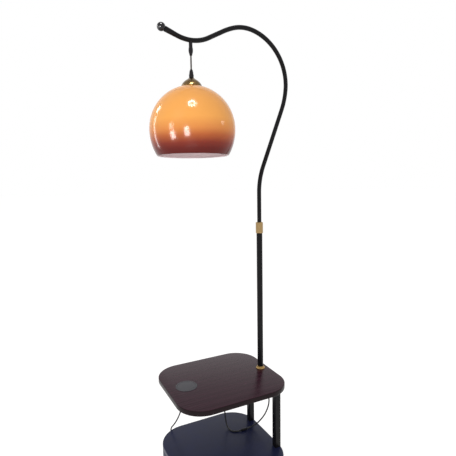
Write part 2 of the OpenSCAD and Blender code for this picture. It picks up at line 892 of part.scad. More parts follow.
// Tapered strain reliefs where the two leads leave the charger
module cord_reliefs() {
    bite = 0.4;                           // of the collar into the housing
    collar = 3;
    collar_r = cord_r + 2.4;
    base_r = cord_r + 1.8;
    tip_r = cord_r + 0.5;
    color("black")
    for (turn = [0, 90])
        translate([-pad_x, 0, outlet_z])
            rotate([0, 0, turn])
                translate([housing_r, 0, 0])
                    rotate([0, 90, 0]) {
                        translate([0, 0, -housing_wall]) cylinder(r = cord_r, h = housing_wall + tiny);
                        translate([0, 0, -bite]) cylinder(r = collar_r, h = collar);
                        cylinder(r1 = base_r, r2 = tip_r, h = relief_length);
                    }
}

// ---------- pole ----------

module foot_collar() {
    bore = pole_d / 2;
    outer = collar_d / 2;
    color("gold")
    translate([pole_x, 0, table_height])
        rotate_extrude()
            polygon([
                [bore, 0], [outer, 0], [outer, 2.2], [outer - 0.8, 3],
                [outer - 1.6, 3.2], [bore + 2.6, 5.2], [bore + 1.6, 6.2],
                [bore + 1.6, collar_height - 0.6], [bore + 1, collar_height], [bore, collar_height],
            ]);
}

module pole() {
    color("black")
    translate([pole_x, 0, table_height]) tube(pole_d / 2, pole_bore / 2, pole_top - table_height);
}

// Threaded plug in the pole's foot
module pole_insert() {
    color("gray")
    translate([pole_x, 0, table_height]) tube(pole_bore / 2, stem_d / 2, insert_height);
}

module pole_stem() {
    color("silver")
    translate([pole_x, 0, stem_bottom])
        tube(stem_d / 2, cord_r, table_height + stem_up - stem_bottom);
}

module stem_washer() {
    color("silver")
    translate([pole_x, 0, post_top - stem_washer]) tube(stem_washer_r, stem_d / 2, stem_washer);
}

module stem_nut() {
    across_corners = stem_nut_flats / cos(30);
    color("silver")
    translate([pole_x, 0, post_top - stem_washer - stem_nut])
        difference() {
            cylinder(d = across_corners, h = stem_nut, $fn = 6);
            translate([0, 0, -tiny]) cylinder(d = stem_d, h = stem_nut + 2 * tiny);
        }
}

// The bush in the pole's top, which the neck turns in and stands on
module neck_bush() {
    color("ivory")
    translate([pole_x, 0, pole_top - bush_height])
        difference() {
            cylinder(r = pole_bore / 2, h = bush_height);
            translate([0, 0, bush_ledge]) cylinder(r = bush_bore / 2, h = bush_height);
            translate([0, 0, -tiny]) cylinder(r = neck_bore_r, h = bush_height);
        }
}

// A plain barrel that steps from the pole's diameter to the neck's inside, rounded at its ends
module ferrule() {
    outer = ferrule_d / 2;
    pole_r = pole_d / 2;
    neck_hole = neck_r + run_fit;
    half = ferrule_height / 2;
    round_r = 2.4;
    slope = round_r * (1 - cos(45));
    color("gold")
    translate([pole_x, 0, ferrule_foot])
        rotate_extrude()
            polygon([
                [pole_r, 0], [outer - round_r / 2, 0], [outer - slope / 4, slope],
                [outer, round_r], [outer, ferrule_height - round_r],
                [outer - slope, ferrule_height - slope],
                [outer - round_r, ferrule_height], [neck_hole, ferrule_height],
                [neck_hole, half], [pole_r, half],
            ]);
}

// ---------- swan neck ----------

// A round bar of radius r along the neck's chain of straights and bends. Each row is drawn
// in the frame that the row before it ends in: +Z ahead, +X to the right. Every other piece
// is thinner by a hair and runs a little into its neighbours, so they join cleanly.
module neck_run(i, r, lead, tail, thin) {
    if (i < len(neck_bends)) {
        straight = neck_bends[i][0] * neck_scale + lead;
        radius = neck_bends[i][1] * neck_scale;
        turn = neck_bends[i][2];
        bend_thin = straight > 0 ? !thin : thin;
        if (straight > 0) neck_bar(straight, r, thin, thin);
        translate([0, 0, straight]) {
            neck_bend(radius, turn, r, bend_thin);
            translate([-sign(turn) * radius, 0, 0])
                rotate([0, -turn, 0])
                    translate([sign(turn) * radius, 0, 0])
                        neck_run(i + 1, r, 0, tail, !bend_thin);
        }
    } else {
        neck_bar(neck_tip_length * neck_scale - ball_seat + tail, r, thin, false);
    }
}

module neck_bar(length, r, thin, laps_ahead) {
    back = thin ? neck_lap : 0;
    ahead = laps_ahead ? neck_lap : 0;
    translate([0, 0, -back]) cylinder(r = r - (thin ? neck_hair : 0), h = back + length + ahead);
}

// One bend, from the origin heading +Z and turning towards -X when turn is positive
module neck_bend(radius, turn, r, thin) {
    side = sign(turn);
    lap = thin ? neck_lap / radius * 180 / PI : 0;
    translate([-side * radius, 0, 0])
        rotate([90, 0, 0])
            rotate([0, 0, (side > 0 ? 0 : 180 + turn) - lap])
                rotate_extrude(angle = abs(turn) + 2 * lap)
                    translate([radius, 0]) circle(r = r - (thin ? neck_hair : 0));
}

module neck() {
    lead = ferrule_top - neck_foot;
    past = 1;                             // of the bore's tool at both ends
    color("black")
    difference() {
        translate([pole_x, 0, neck_foot]) neck_run(0, neck_r, lead, 0, false);
        translate([pole_x, 0, neck_foot - past])
            neck_run(0, neck_bore_r, lead + past, past, false);
        translate([hook_x, 0, hook_z - neck_d]) cylinder(r = cord_hole_r, h = neck_d);
    }
}

module at_tip(back) {
    p = ahead(ball_centre, neck_last[1], -back);
    translate([p[0], 0, p[1]]) rotate([0, 90 - neck_last[1], 0]) children();
}

module finial_sleeve() {
    color("black")
    at_tip(ball_seat + sleeve_length)
        difference() {
            cylinder(r1 = neck_r + sleeve_thin, r2 = neck_r + sleeve_thick, h = sleeve_length);
            translate([0, 0, -tiny]) cylinder(r = neck_r, h = sleeve_length + 2 * tiny);
        }
}

module ball_finial() {
    color("black")
    union() {
        at_tip(0) sphere(r = ball_r);
        at_tip(ball_seat + spigot_length)
            cylinder(r = neck_bore_r - 2 * neck_hair, h = spigot_length + spigot_root);
    }
}

// ---------- pendant ----------

module about_pendant() {
    translate([hook_x, 0, 0]) children();
}

module upper_cord_grip() {
    mouth = cord_r + 1.3;
    grip_head = grip_length + 2.4;        // inside the neck, cut to the neck's own round
    color("black")
    about_pendant()
        difference() {
            translate([0, 0, grip_bottom])
                rotate_extrude()
                    polygon([
                        [0, 0], [grip_mouth_r, 0], [grip_mouth_r + 0.5, 4],
                        [grip_belly_r - 0.5, 9], [grip_belly_r, 12], [grip_belly_r, 17],
                        [grip_top_r, 24], [grip_top_r, grip_head], [0, grip_head],
                    ]);
            translate([-neck_d, 0, hook_z]) rotate([0, 90, 0]) cylinder(r = neck_r, h = 2 * neck_d);
            translate([0, 0, swing_z]) sphere(r = cord_r + loose);
            translate([0, 0, grip_bottom - tiny])
                cylinder(r1 = mouth, r2 = cord_r + loose, h = pivot_lift + tiny);
        }
}

// The cord hangs from a ball end in the grip's mouth, so that it can swing
module pendant_cord() {
    foot = cap_top + cord_bite;
    color("dimgray")
    about_pendant() {
        translate([0, 0, swing_z]) sphere(r = cord_r);
        translate([0, 0, foot]) cylinder(r = cord_r, h = swing_z - foot);
    }
}

module lower_cord_grip() {
    base_r = 6.9;
    waist_r = 5.8;
    color("black")
    about_pendant()
        difference() {
            translate([0, 0, cap_top])
                rotate_extrude()
                    polygon([
                        [0, 0], [base_r, 0], [base_r, 8], [waist_r, 11], [waist_r - 0.2, 16],
                        [waist_r - 1.4, 20.5], [cord_r + 1, lower_grip_height - 0.8],
                        [cord_r + 0.6, lower_grip_height], [0, lower_grip_height],
                    ]);
            translate([0, 0, cap_top + cord_bite]) cylinder(r = cord_r, h = lower_grip_height);
            translate([0, 0, cap_top - tiny]) cylinder(r = nipple_r, h = nipple_bite + tiny);
        }
}

module shade_nipple() {
    foot = holder_top - nipple_bite;
    color("silver")
    about_pendant()
        translate([0, 0, foot]) tube(nipple_r, nipple_r - nipple_wall, cap_top + nipple_bite - foot);
}

module shade_cap() {
    dome = [for (p = cap_dome) [p[0] * cap_r, p[1] * cap_height]];
    lining = [for (k = [len(dome) - 1 : -1 : 0]) dome[k] - 1.2 * [cap_wall, cap_wall]];
    color("peru")
    about_pendant()
        translate([0, 0, cap_seat])
            rotate_extrude()
                polygon(concat(
                    [[cap_r - cap_wall, 0], [cap_r, 0], [cap_r, cap_rim]],
                    dome,
                    [[cap_neck_r, cap_height], [nipple_r, cap_height]],
                    [[nipple_r, cap_height - cap_crown]],
                    lining,
                    [[cap_r - cap_wall, cap_rim]]
                ));
}

// Half profile of the glass: a sphere above its widest line, fuller below it
function shade_radius(a, inset) = (shade_r - inset) * cos(a);
function shade_height(a, inset) =
    a >= 0
        ? (shade_r - inset) * sin(a)
        : (shade_r * shade_fullness - inset) * sin(a);
function shade_point(a, inset) = [shade_radius(a, inset), shade_height(a, inset)];

module shade() {
    steps = 30;
    out_high = acos(holder_r / shade_r);
    in_high = acos(holder_r / (shade_r - glass));
    out_low = -asin(shade_drop / (shade_r * shade_fullness));
    in_low = -asin(shade_drop / (shade_r * shade_fullness - glass));
    outer = [
        for (k = [0 : steps]) shade_point(out_low + (out_high - out_low) * k / steps, 0),
    ];
    inner = [
        for (k = [steps : -1 : 0]) shade_point(in_low + (in_high - in_low) * k / steps, glass),
    ];
    color("orange")
    about_pendant()
        translate([0, 0, shade_z]) rotate_extrude() polygon(concat(outer, inner));
}

module shade_ring() {
    color("black")
    about_pendant()
        translate([0, 0, ring_top - ring_height]) tube(ring_r, holder_r, ring_height);
}

module lampholder() {
    color("black")
    about_pendant()
        difference() {
            translate([0, 0, holder_bottom]) {
                cylinder(r = holder_r, h = holder_height - holder_chamfer);
                translate([0, 0, holder_height - holder_chamfer])
                    cylinder(r1 = holder_r, r2 = holder_r - holder_chamfer, h = holder_chamfer);
            }
            translate([0, 0, holder_bottom - tiny])
                cylinder(r = bulb_socket_r, h = bulb_socket_depth + tiny);
            translate([0, 0, holder_top - nipple_bite])
                cylinder(r = nipple_r, h = nipple_bite + tiny);
        }
}

module bulb_cap() {
    color("silver")
    about_pendant()
        translate([0, 0, bulb_seat]) {
            cylinder(r = bulb_cap_r, h = bulb_cap_height);
            translate([0, 0, bulb_cap_height])
                cylinder(r1 = insulator_r, r2 = insulator_top_r, h = insulator_height);
            translate([0, 0, bulb_cap_height + insulator_height])
                cylinder(r = contact_r, h = contact_height);
        }
}

module bulb_dome() {
    flare = 2;
    flare_drop = 8;
    color("white")
    about_pendant()
        translate([0, 0, bulb_seat - bulb_shoulder])
            rotate_extrude()
                polygon(concat(
                    [[0, bulb_shoulder], [bulb_cap_r, bulb_shoulder]],
                    [[bulb_cap_r + flare, bulb_shoulder - flare_drop]],
                    [for (a = [12 : -8.5 : -90]) [bulb_r * cos(a), bulb_r * sin(a)]]
                ));
}

// ---------- cords ----------

// A saddle that holds the lamp lead up under the tabletop
module cord_clip() {
    x = -1;
    y = 31;
    half = 4;
    gap = cord_r + 0.6;
    play = 1;                             // under the lead
    wall = 1.6;
    plate = 2;                            // of the wing that takes the nail
    wing = 7;
    color("white")
    translate([x, y, table_under])
        rotate([0, 0, 45])
            difference() {
                box_between([-half, -gap - wing, -2 * gap - play - wall], [half, gap + plate, 0]);
                box_between([-half - tiny, -gap, -2 * gap - play], [half + tiny, gap, tiny]);
                box_between(
                    [-half - tiny, -gap - wing - tiny, -2 * gap - play - plate],
                    [half + tiny, -gap - wall, -plate]
                );
            }
}

module lamp_lead() {
    color("black") cord_tube(lamp_route, 1);
}

module lead_connector() {
    half = connector_length / 2;
    taper = 5;
    tip_r = cord_r + 0.5;
    shoulder_r = connector_r - 0.4;
    color("black")
    translate([connector_x, connector_y, cabinet_top + connector_r])
        rotate([0, 90, 0]) {
            translate([0, 0, -half + taper])
                cylinder(r = connector_r, h = connector_length - 2 * taper);
            translate([0, 0, -half]) cylinder(r1 = tip_r, r2 = shoulder_r, h = taper);
            translate([0, 0, half - taper]) cylinder(r1 = shoulder_r, r2 = tip_r, h = taper);
        }
}

module supply_lead() {
    color("black") cord_tube(supply_route, 1);
}

module supply_coil() {
    color("black")
    translate([coil_x, coil_y, 0]) tube(coil_out_r, coil_in_r, coil_height);
}

module supply_tail() {
    color("black") cord_tube(tail_route, 2);
}

module line_switch() {
    lid = 3;
    lid_side = 2;
    corner = 6;
    color("black")
    translate([switch_x, switch_y, 0])
        difference() {
            union() {
                linear_extrude(switch_height - lid)
                    rounded_plan(switch_length, switch_width, corner);
                translate([0, 0, switch_height - lid])
                    linear_extrude(lid)
                        rounded_plan(
                            switch_length - 2 * lid,
                            switch_width - 2 * lid_side,
                            corner - lid_side
                        );
            }
            box_between(
                [-rocker_long - loose, -rocker_wide - loose, switch_height - rocker_depth],
                [rocker_long + loose, rocker_wide + loose, switch_height + tiny]
            );
            translate([0, pin_half + run_fit, switch_height - rocker_depth + rocker_axis])
                rotate([90, 0, 0]) cylinder(r = rocker_pin + run_fit, h = 2 * (pin_half + run_fit));
        }
}

// A rocker with two sloping halves on a pin along Y, at rest with its +X half pressed in
module switch_rocker() {
    end_gap = 0.7;
    proud = 0.6;
    half = rocker_long - end_gap;
    top = rocker_depth + proud - rocker_axis;
    color("dimgray")
    translate([switch_x, switch_y, switch_height - rocker_depth + rocker_axis])
        rotate([0, rocker_tilt, 0])
            rotate([90, 0, 0]) {
                translate([0, 0, -rocker_wide])
                    linear_extrude(2 * rocker_wide)
                        polygon([
                            [-half, -1], [0, -2.8], [half, -1],
                            [half, top + 0.8], [0, top - 0.6], [-half, top + 0.8],
                        ]);
                translate([0, 0, -pin_half]) cylinder(r = rocker_pin, h = 2 * pin_half);
            }
}

// A flat two-pin plug: the body tapers back to the cord, the pins point to +Y
module plug() {
    tail = 10;
    collar = 3;
    collar_r = 7;
    body_foot = tail + collar;
    body_width = 25;
    corner = 5;
    pin_pitch = 12.7;
    pin = [1.5, 6.4];
    color("black")
    translate([plug_x, plug_y, plug_z])
        rotate([-90, 0, 0]) {
            cylinder(r1 = cord_r + 0.6, r2 = cord_r + 2.4, h = tail);
            translate([0, 0, tail]) cylinder(r = collar_r, h = collar);
            translate([0, 0, body_foot])
                linear_extrude(plug_length - body_foot)
                    rounded_plan(body_width, 2 * plug_z, corner);
            for (side = [-1, 1])
                box_between(
                    [(side * pin_pitch - pin[0]) / 2, -pin[1] / 2, plug_length - tiny],
                    [(side * pin_pitch + pin[0]) / 2, pin[1] / 2, plug_length + plug_pins]
                );
        }
}

plinth();
cabinet_bottom();
cabinet_skin();
cabinet_top_board();
cabinet_uprights();
cabinet_divider();
drawer_slides_fixed();
upper_drawer_front();
upper_drawer_box();
upper_drawer_base();
upper_drawer_knob();
upper_drawer_slides();
lower_drawer_front();
lower_drawer_box();
lower_drawer_base();
lower_drawer_knob();
lower_drawer_slides();
front_post();
back_post();
post_plugs();
post_bolts();
table_bracket();
bracket_screws();
tabletop();
charger_pad();
charger_housing();
charger_coil();
charger_board();
charger_ring_nut();
cord_reliefs();
foot_collar();
pole();
pole_insert();
pole_stem();
stem_washer();
stem_nut();
neck_bush();
ferrule();
neck();
finial_sleeve();
ball_finial();
upper_cord_grip();
pendant_cord();
lower_cord_grip();
shade_nipple();
shade_cap();
shade();
shade_ring();
lampholder();
bulb_cap();
bulb_dome();
cord_clip();
lamp_lead();
lead_connector();
supply_lead();
supply_coil();
supply_tail();
line_switch();
switch_rocker();
plug();
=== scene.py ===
"""Looks of the floor lamp with its side table and drawer cabinet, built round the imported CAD
model. Metres, in the same frame: +X along the table towards the pole, +Y back, +Z up."""

import json

import math
from collections import namedtuple

import bmesh
import bpy
from mathutils import Matrix, Vector


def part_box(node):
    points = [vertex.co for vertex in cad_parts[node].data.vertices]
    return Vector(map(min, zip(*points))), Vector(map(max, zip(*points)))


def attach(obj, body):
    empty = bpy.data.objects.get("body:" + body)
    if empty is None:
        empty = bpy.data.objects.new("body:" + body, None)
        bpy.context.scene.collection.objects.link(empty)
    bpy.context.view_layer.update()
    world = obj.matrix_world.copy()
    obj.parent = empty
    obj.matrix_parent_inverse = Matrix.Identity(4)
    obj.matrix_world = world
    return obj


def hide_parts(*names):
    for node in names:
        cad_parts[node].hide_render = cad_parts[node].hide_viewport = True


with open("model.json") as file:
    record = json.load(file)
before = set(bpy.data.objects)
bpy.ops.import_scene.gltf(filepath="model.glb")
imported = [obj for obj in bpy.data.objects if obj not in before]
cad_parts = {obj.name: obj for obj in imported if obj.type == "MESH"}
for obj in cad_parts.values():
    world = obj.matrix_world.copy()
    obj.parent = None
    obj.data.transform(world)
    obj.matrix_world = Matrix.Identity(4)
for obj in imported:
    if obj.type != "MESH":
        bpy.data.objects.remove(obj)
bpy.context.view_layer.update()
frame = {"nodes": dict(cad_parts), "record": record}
MM = 0.001
WELD = 1e-7  # vertices closer than this are one
scene = bpy.context.scene
scene.view_settings.view_transform = "Standard"


# ---------- camera ----------

IMAGE_SIZE = 456
FOCAL_PIXELS = 403.1
SENSOR = 36.0
CAMERA_AT = Vector((-0.5282, -1.1173, 1.1512))
CAMERA_YAW = math.radians(26.785)
CAMERA_DOWN = math.radians(5.967)
CAMERA_ROLL = math.radians(-0.901)


def make_camera():
    right = Vector((math.cos(CAMERA_YAW), -math.sin(CAMERA_YAW), 0))
    level = Vector((math.sin(CAMERA_YAW), math.cos(CAMERA_YAW), 0))
    ahead = level * math.cos(CAMERA_DOWN) - Vector((0, 0, math.sin(CAMERA_DOWN)))
    up = level * math.sin(CAMERA_DOWN) + Vector((0, 0, math.cos(CAMERA_DOWN)))
    x = right * math.cos(CAMERA_ROLL) + up * math.sin(CAMERA_ROLL)
    y = up * math.cos(CAMERA_ROLL) - right * math.sin(CAMERA_ROLL)
    data = bpy.data.cameras.new("camera")
    data.sensor_width = SENSOR
    data.lens = FOCAL_PIXELS / IMAGE_SIZE * SENSOR
    data.clip_end = 200
    camera = bpy.data.objects.new("camera", data)
    turn = Matrix((x, y, -ahead)).transposed().to_4x4()
    camera.matrix_world = Matrix.Translation(CAMERA_AT) @ turn
    scene.collection.objects.link(camera)
    scene.camera = camera


make_camera()


# ---------- mesh helpers ----------


def link(name, mesh, body, slot, replaced=None, material=None, sharp=32):
    """Puts a mesh in the scene as one piece that rides on a body, in its slot's look or another."""
    piece = bpy.data.objects.new(name, mesh)
    scene.collection.objects.link(piece)
    for polygon in mesh.polygons:
        polygon.use_smooth = True
    mesh.set_sharp_from_angle(angle=math.radians(sharp))
    if not mesh.materials:
        mesh.materials.append(material or CAD_LOOKS[slot])
    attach(piece, body)
    if replaced:
        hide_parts(replaced)
    return piece


def add(name, bm, body, slot, replaced=None, material=None):
    """Puts a bmesh in the scene as one piece."""
    return link(name, finished(bm, name), body, slot, replaced, material)


def turned(name, outline, place, segments, body, slot, replaced=None, material=None, closed=False):
    """A piece that is revolved from an outline."""
    bm = bmesh.new()
    lathe(bm, outline, place, segments, closed)
    return add(name, bm, body, slot, replaced, material)


def finished(bm, name):
    """Turns a bmesh into a mesh with outward faces."""
    bmesh.ops.remove_doubles(bm, verts=bm.verts, dist=WELD)
    bmesh.ops.recalc_face_normals(bm, faces=bm.faces)
    mesh = bpy.data.meshes.new(name)
    bm.to_mesh(mesh)
    bm.free()
    return mesh


def bridge(bm, first, second):
    """Faces between two rings of the same count; a ring of one vertex closes to a point."""
    count = max(len(first), len(second))
    for k in range(count):
        a, b = first[k % len(first)], first[(k + 1) % len(first)]
        c, d = second[(k + 1) % len(second)], second[k % len(second)]
        corners = [a, b, c, d]
        kept = [v for i, v in enumerate(corners) if v not in corners[:i]]
        if len(kept) > 2:
            bm.faces.new(kept)


def bridge_all(bm, rings, closed=False):
    """Faces from each ring to the next, and from the last to the first if it is closed."""
    for first, second in zip(rings, rings[1:]):
        bridge(bm, first, second)
    if closed:
        bridge(bm, rings[-1], rings[0])


def lathe(bm, profile, place, segments, closed=False):
    """Revolves (r, z) points about z and moves the result to a place."""
    rings = []
    for r, z in profile:
        if r < 1e-9:
            rings.append([bm.verts.new(place @ Vector((0, 0, z)))])
            continue
        rings.append([
            bm.verts.new(place @ Vector((r * math.cos(a), r * math.sin(a), z)))
            for a in (2 * math.pi * k / segments for k in range(segments))
        ])
    bridge_all(bm, rings, closed)
    if not closed:
        for ring in (rings[0], rings[-1]):
            if len(ring) > 2:
                bm.faces.new(ring)


def rounded_profile(points, radius, steps=3):
    """Softens the corners of an open (r, z) outline with short arcs."""
    most = 0.45  # of a side that one corner may take
    made = [points[0]]
    for before, here, after in zip(points, points[1:], points[2:]):
        p, q, s = Vector(before), Vector(here), Vector(after)
        reach = min(radius, (p - q).length * most, (s - q).length * most)
        start = q + (p - q).normalized() * reach
        end = q + (s - q).normalized() * reach
        for k in range(steps + 1):
            t = k / steps
            point = start * (1 - t) ** 2 + q * 2 * t * (1 - t) + end * t**2
            made.append((max(point.x, 0), point.y))
    made.append(points[-1])
    return made


def millimetres(*points):
    """Points given in millimetres, in metres."""
    return [tuple(value * MM for value in point) for point in points]


def loop_outline(half_x, half_y, radius, steps=16):
    """A rectangle with round corners, as points in order."""
    corners = ((1, 1, 0), (-1, 1, 90), (-1, -1, 180), (1, -1, 270))
    made = []
    for sx, sy, start in corners:
        for k in range(steps + 1):
            a = math.radians(start + 90 * k / steps)
            made.append((
                sx * (half_x - radius) + radius * math.cos(a),
                sy * (half_y - radius) + radius * math.sin(a),
            ))
    return made


def layers(bm, rings, place, closed=False):
    """Stacks outlines of the same count, with ends, or closed to a ring."""
    made = [[bm.verts.new(place @ Vector(p)) for p in ring] for ring in rings]
    bridge_all(bm, made, closed)
    if not closed:
        bm.faces.new(made[0])
        bm.faces.new(made[-1])


def board(bm, half_x, half_y, radius, low, high, edge, place=Matrix(), steps=16, under=None):
    """A board with round corners and rounded edges."""
    under = edge if under is None else under
    arc_steps = 4
    rings = []
    for z0, size, sign in ((low, under, -1), (high, edge, 1)):
        for k in range(arc_steps + 1)[::-sign]:
            a = math.pi / 2 * k / arc_steps
            inset = size * (1 - math.sin(a))
            z = z0 - sign * size * (1 - math.cos(a))
            outline = loop_outline(half_x - inset, half_y - inset, radius - inset, steps)
            rings.append([(x, y, z) for x, y in outline])
    layers(bm, rings, place)


def block(bm, low, high, edge, place=Matrix()):
    """A box with rounded edges all round."""
    made = bmesh.ops.create_cube(bm, size=1)
    low, high = Vector(low), Vector(high)
    size, middle = high - low, (low + high) / 2
    for v in made["verts"]:
        v.co = Vector(v.co[i] * size[i] + middle[i] for i in range(3))
    edges = {e for v in made["verts"] for e in v.link_edges}
    result = bmesh.ops.bevel(
        bm, geom=list(edges), offset=edge, segments=2, affect="EDGES", profile=0.5
    )
    verts = {v for f in result["faces"] for v in f.verts}
    verts |= {v for v in made["verts"] if v.is_valid}
    for v in verts:
        v.co = place @ v.co


def sweep(bm, path, radius, sides):
    """A round tube along a path of points, closed at its ends."""
    points = [Vector(p) for p in path]
    count = len(points)
    side = None
    rings = []
    for i, p in enumerate(points):
        heading = (points[min(i + 1, count - 1)] - points[max(i - 1, 0)]).normalized()
        if side is None:
            side = heading.orthogonal().normalized()
        side = (side - heading * side.dot(heading)).normalized()
        other = heading.cross(side)
        rings.append([
            bm.verts.new(p + (side * math.cos(a) + other * math.sin(a)) * radius)
            for a in (2 * math.pi * k / sides for k in range(sides))
        ])
    bridge_all(bm, rings)
    bm.faces.new(rings[0])
    bm.faces.new(rings[-1])


def smooth(points, steps):
    """Points on a smooth curve through the given ones, as the CAD source draws it."""
    p = [Vector(q) for q in points]
    made = []
    for i in range(len(p) - 1):
        a, b, c, d = p[max(i - 1, 0)], p[i], p[i + 1], p[min(i + 2, len(p) - 1)]
        for k in range(steps):
            t = k / steps
            made.append(0.5 * (
                2 * b + (c - a) * t + (2 * a - 5 * b + 4 * c - d) * t * t
                + (3 * b - a - 3 * c + d) * t**3
            ))
    made.append(p[-1])
    return made


def path_length(points):
    return sum((b - a).length for a, b in zip(points, points[1:]))


def cord_curve(name, points, *replaced):
    """A cord as a curve object of one spline, in place of the CAD nodes it replaces."""
    data = bpy.data.curves.new(name, "CURVE")
    data.dimensions = "3D"
    data.bevel_depth = CORD_R
    data.bevel_resolution = 5
    data.use_fill_caps = True
    spline = data.splines.new("POLY")
    spline.points.add(len(points) - 1)
    for target, p in zip(spline.points, points):
        target.co = (p[0], p[1], p[2], 1)
    spline.use_smooth = True
    data.materials.append(cord_black)
    piece = bpy.data.objects.new(name, data)
    scene.collection.objects.link(piece)
    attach(piece, "stand")
    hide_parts(*replaced)
    return piece


def at(x, y, z):
    return Matrix.Translation((x, y, z))


Extent = namedtuple("Extent", "low high middle r height")


def extents(name):
    """The box of a CAD node, with its middle, half its width along X and its height."""
    low, high = (Vector(corner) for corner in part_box(name))
    return Extent(low, high, (low + high) / 2, (high.x - low.x) / 2, high.z - low.z)


# ---------- materials ----------


def new_material(name):
    material = bpy.data.materials.new(name)
    material.use_nodes = True
    tree = material.node_tree
    return material, tree, tree.nodes["Principled BSDF"]


def node(tree, kind, **settings):
    made = tree.nodes.new(kind)
    for key, value in settings.items():
        setattr(made, key, value)
    return made


def dial(target, **values):
    """Sets inputs by name, with _ for a space."""
    for key, value in values.items():
        target.inputs[key.replace("_", " ")].default_value = value


def join(tree, source, output, target, socket):
    tree.links.new(source.outputs[output], target.inputs[socket])


def place_coordinates(tree, scale=(1, 1, 1)):
    """The object's own place, stretched along each axis."""
    coordinates = node(tree, "ShaderNodeTexCoord")
    mapping = node(tree, "ShaderNodeMapping")
    dial(mapping, Scale=scale)
    join(tree, coordinates, "Object", mapping, "Vector")
    return mapping


def noise(tree, mapping, scale, detail=3.0, roughness=0.5):
    made = node(tree, "ShaderNodeTexNoise")
    dial(made, Scale=scale, Detail=detail, Roughness=roughness)
    join(tree, mapping, "Vector", made, "Vector")
    return made


def ramp(tree, source, output, stops):
    """A colour for each share of a value, straight from stop to stop."""
    made = node(tree, "ShaderNodeValToRGB")
    while len(made.color_ramp.elements) < len(stops):
        made.color_ramp.elements.new(0.5)
    for element, (place, colour) in zip(made.color_ramp.elements, stops):
        element.position = place
        element.color = (*colour, 1)
    join(tree, source, output, made, "Fac")
    return made


def bump(tree, shader, source, strength, distance):
    made = node(tree, "ShaderNodeBump")
    dial(made, Strength=strength, Distance=distance)
    join(tree, source, "Fac", made, "Height")
    join(tree, made, "Normal", shader, "Normal")


def grey(value):
    return (value, value, value)


def mottled(colour, share):
    """A darker and a lighter neighbour of a colour."""
    return [tuple(c * (1 - share) for c in colour), tuple(min(c * (1 + share), 1) for c in colour)]


def surface(
    name, colour, roughness, metallic=0.0, variation=0.08, scale=120.0, spread=0.06,
    grain=0.0, grain_scale=900.0, stretch=(1, 1, 1), coat=0.0, specular=0.5,
):
    """A painted, plated or moulded surface with slight changes of colour and gloss."""
    material, tree, shader = new_material(name)
    mapping = place_coordinates(tree, stretch)
    patches = noise(tree, mapping, scale)
    dark, light = mottled(colour, variation)
    tint = ramp(tree, patches, "Fac", [(0.3, dark), (0.7, light)])
    join(tree, tint, "Color", shader, "Base Color")
    gloss = ramp(
        tree, patches, "Fac",
        [(0.25, grey(max(roughness - spread, 0.02))), (0.75, grey(roughness + spread))],
    )
    join(tree, gloss, "Color", shader, "Roughness")
    dial(shader, Metallic=metallic, Specular_IOR_Level=specular)
    dial(shader, Coat_Weight=coat, Coat_Roughness=0.08)
    if grain:
        fine = noise(tree, mapping, grain_scale, 2.0)
        bump(tree, shader, fine, grain, 0.4 * MM)
    return material


def wood(name, dark, light, roughness, specular, grain_size, pores, along="X"):
    """Timber with growth lines and short pores along one axis."""
    material, tree, shader = new_material(name)
    stretch = (0.12, 1, 1) if along == "X" else (1, 0.12, 1)
    mapping = place_coordinates(tree, stretch)
    across = "Y" if along == "X" else "X"
    bands = node(tree, "ShaderNodeTexWave", wave_type="BANDS", bands_direction=across)
    dial(bands, Scale=grain_size, Distortion=7.0, Detail=3.0, Detail_Scale=1.4)
    join(tree, mapping, "Vector", bands, "Vector")
    fibres = noise(tree, mapping, grain_size * 14, 5.0, 0.65)
    mix = node(tree, "ShaderNodeMix", data_type="FLOAT")
    mix.inputs[0].default_value = 0.55
    join(tree, bands, "Fac", mix, 2)
    join(tree, fibres, "Fac", mix, 3)
    tint = ramp(tree, mix, 0, [(0.22, dark), (0.78, light)])
    join(tree, tint, "Color", shader, "Base Color")
    gloss = ramp(tree, fibres, "Fac", [(0.3, grey(roughness + 0.03)), (0.7, grey(roughness - 0.02))])
    join(tree, gloss, "Color", shader, "Roughness")
    dial(shader, Specular_IOR_Level=specular)
    bump(tree, shader, fibres, pores, 0.5 * MM)
    return material


def height_ramp(name, low, high, stops, roughness, **settings):
    """A material whose colour changes with height, between two heights of the frame."""
    material, tree, shader = new_material(name)
    mapping = place_coordinates(tree)
    sway = 8 * MM
    drift = noise(tree, mapping, 9.0, 2.0)
    parts = node(tree, "ShaderNodeSeparateXYZ")
    join(tree, mapping, "Vector", parts, "Vector")
    wander = node(tree, "ShaderNodeMath", operation="MULTIPLY_ADD")
    join(tree, drift, "Fac", wander, 0)
    wander.inputs[1].default_value = sway
    join(tree, parts, "Z", wander, 2)
    share = node(tree, "ShaderNodeMapRange")
    dial(share, From_Min=low + sway / 2, From_Max=high + sway / 2)
    join(tree, wander, "Value", share, "Value")
    tint = ramp(tree, share, "Result", stops)
    join(tree, tint, "Color", shader, "Base Color")
    dial(shader, Roughness=roughness, **settings)
    return material


SHADE_R = extents("shade").r
SHADE_DROP = 75 * MM  # from the middle of the globe to its mouth
SHADE_Z = extents("shade").low.z + SHADE_DROP

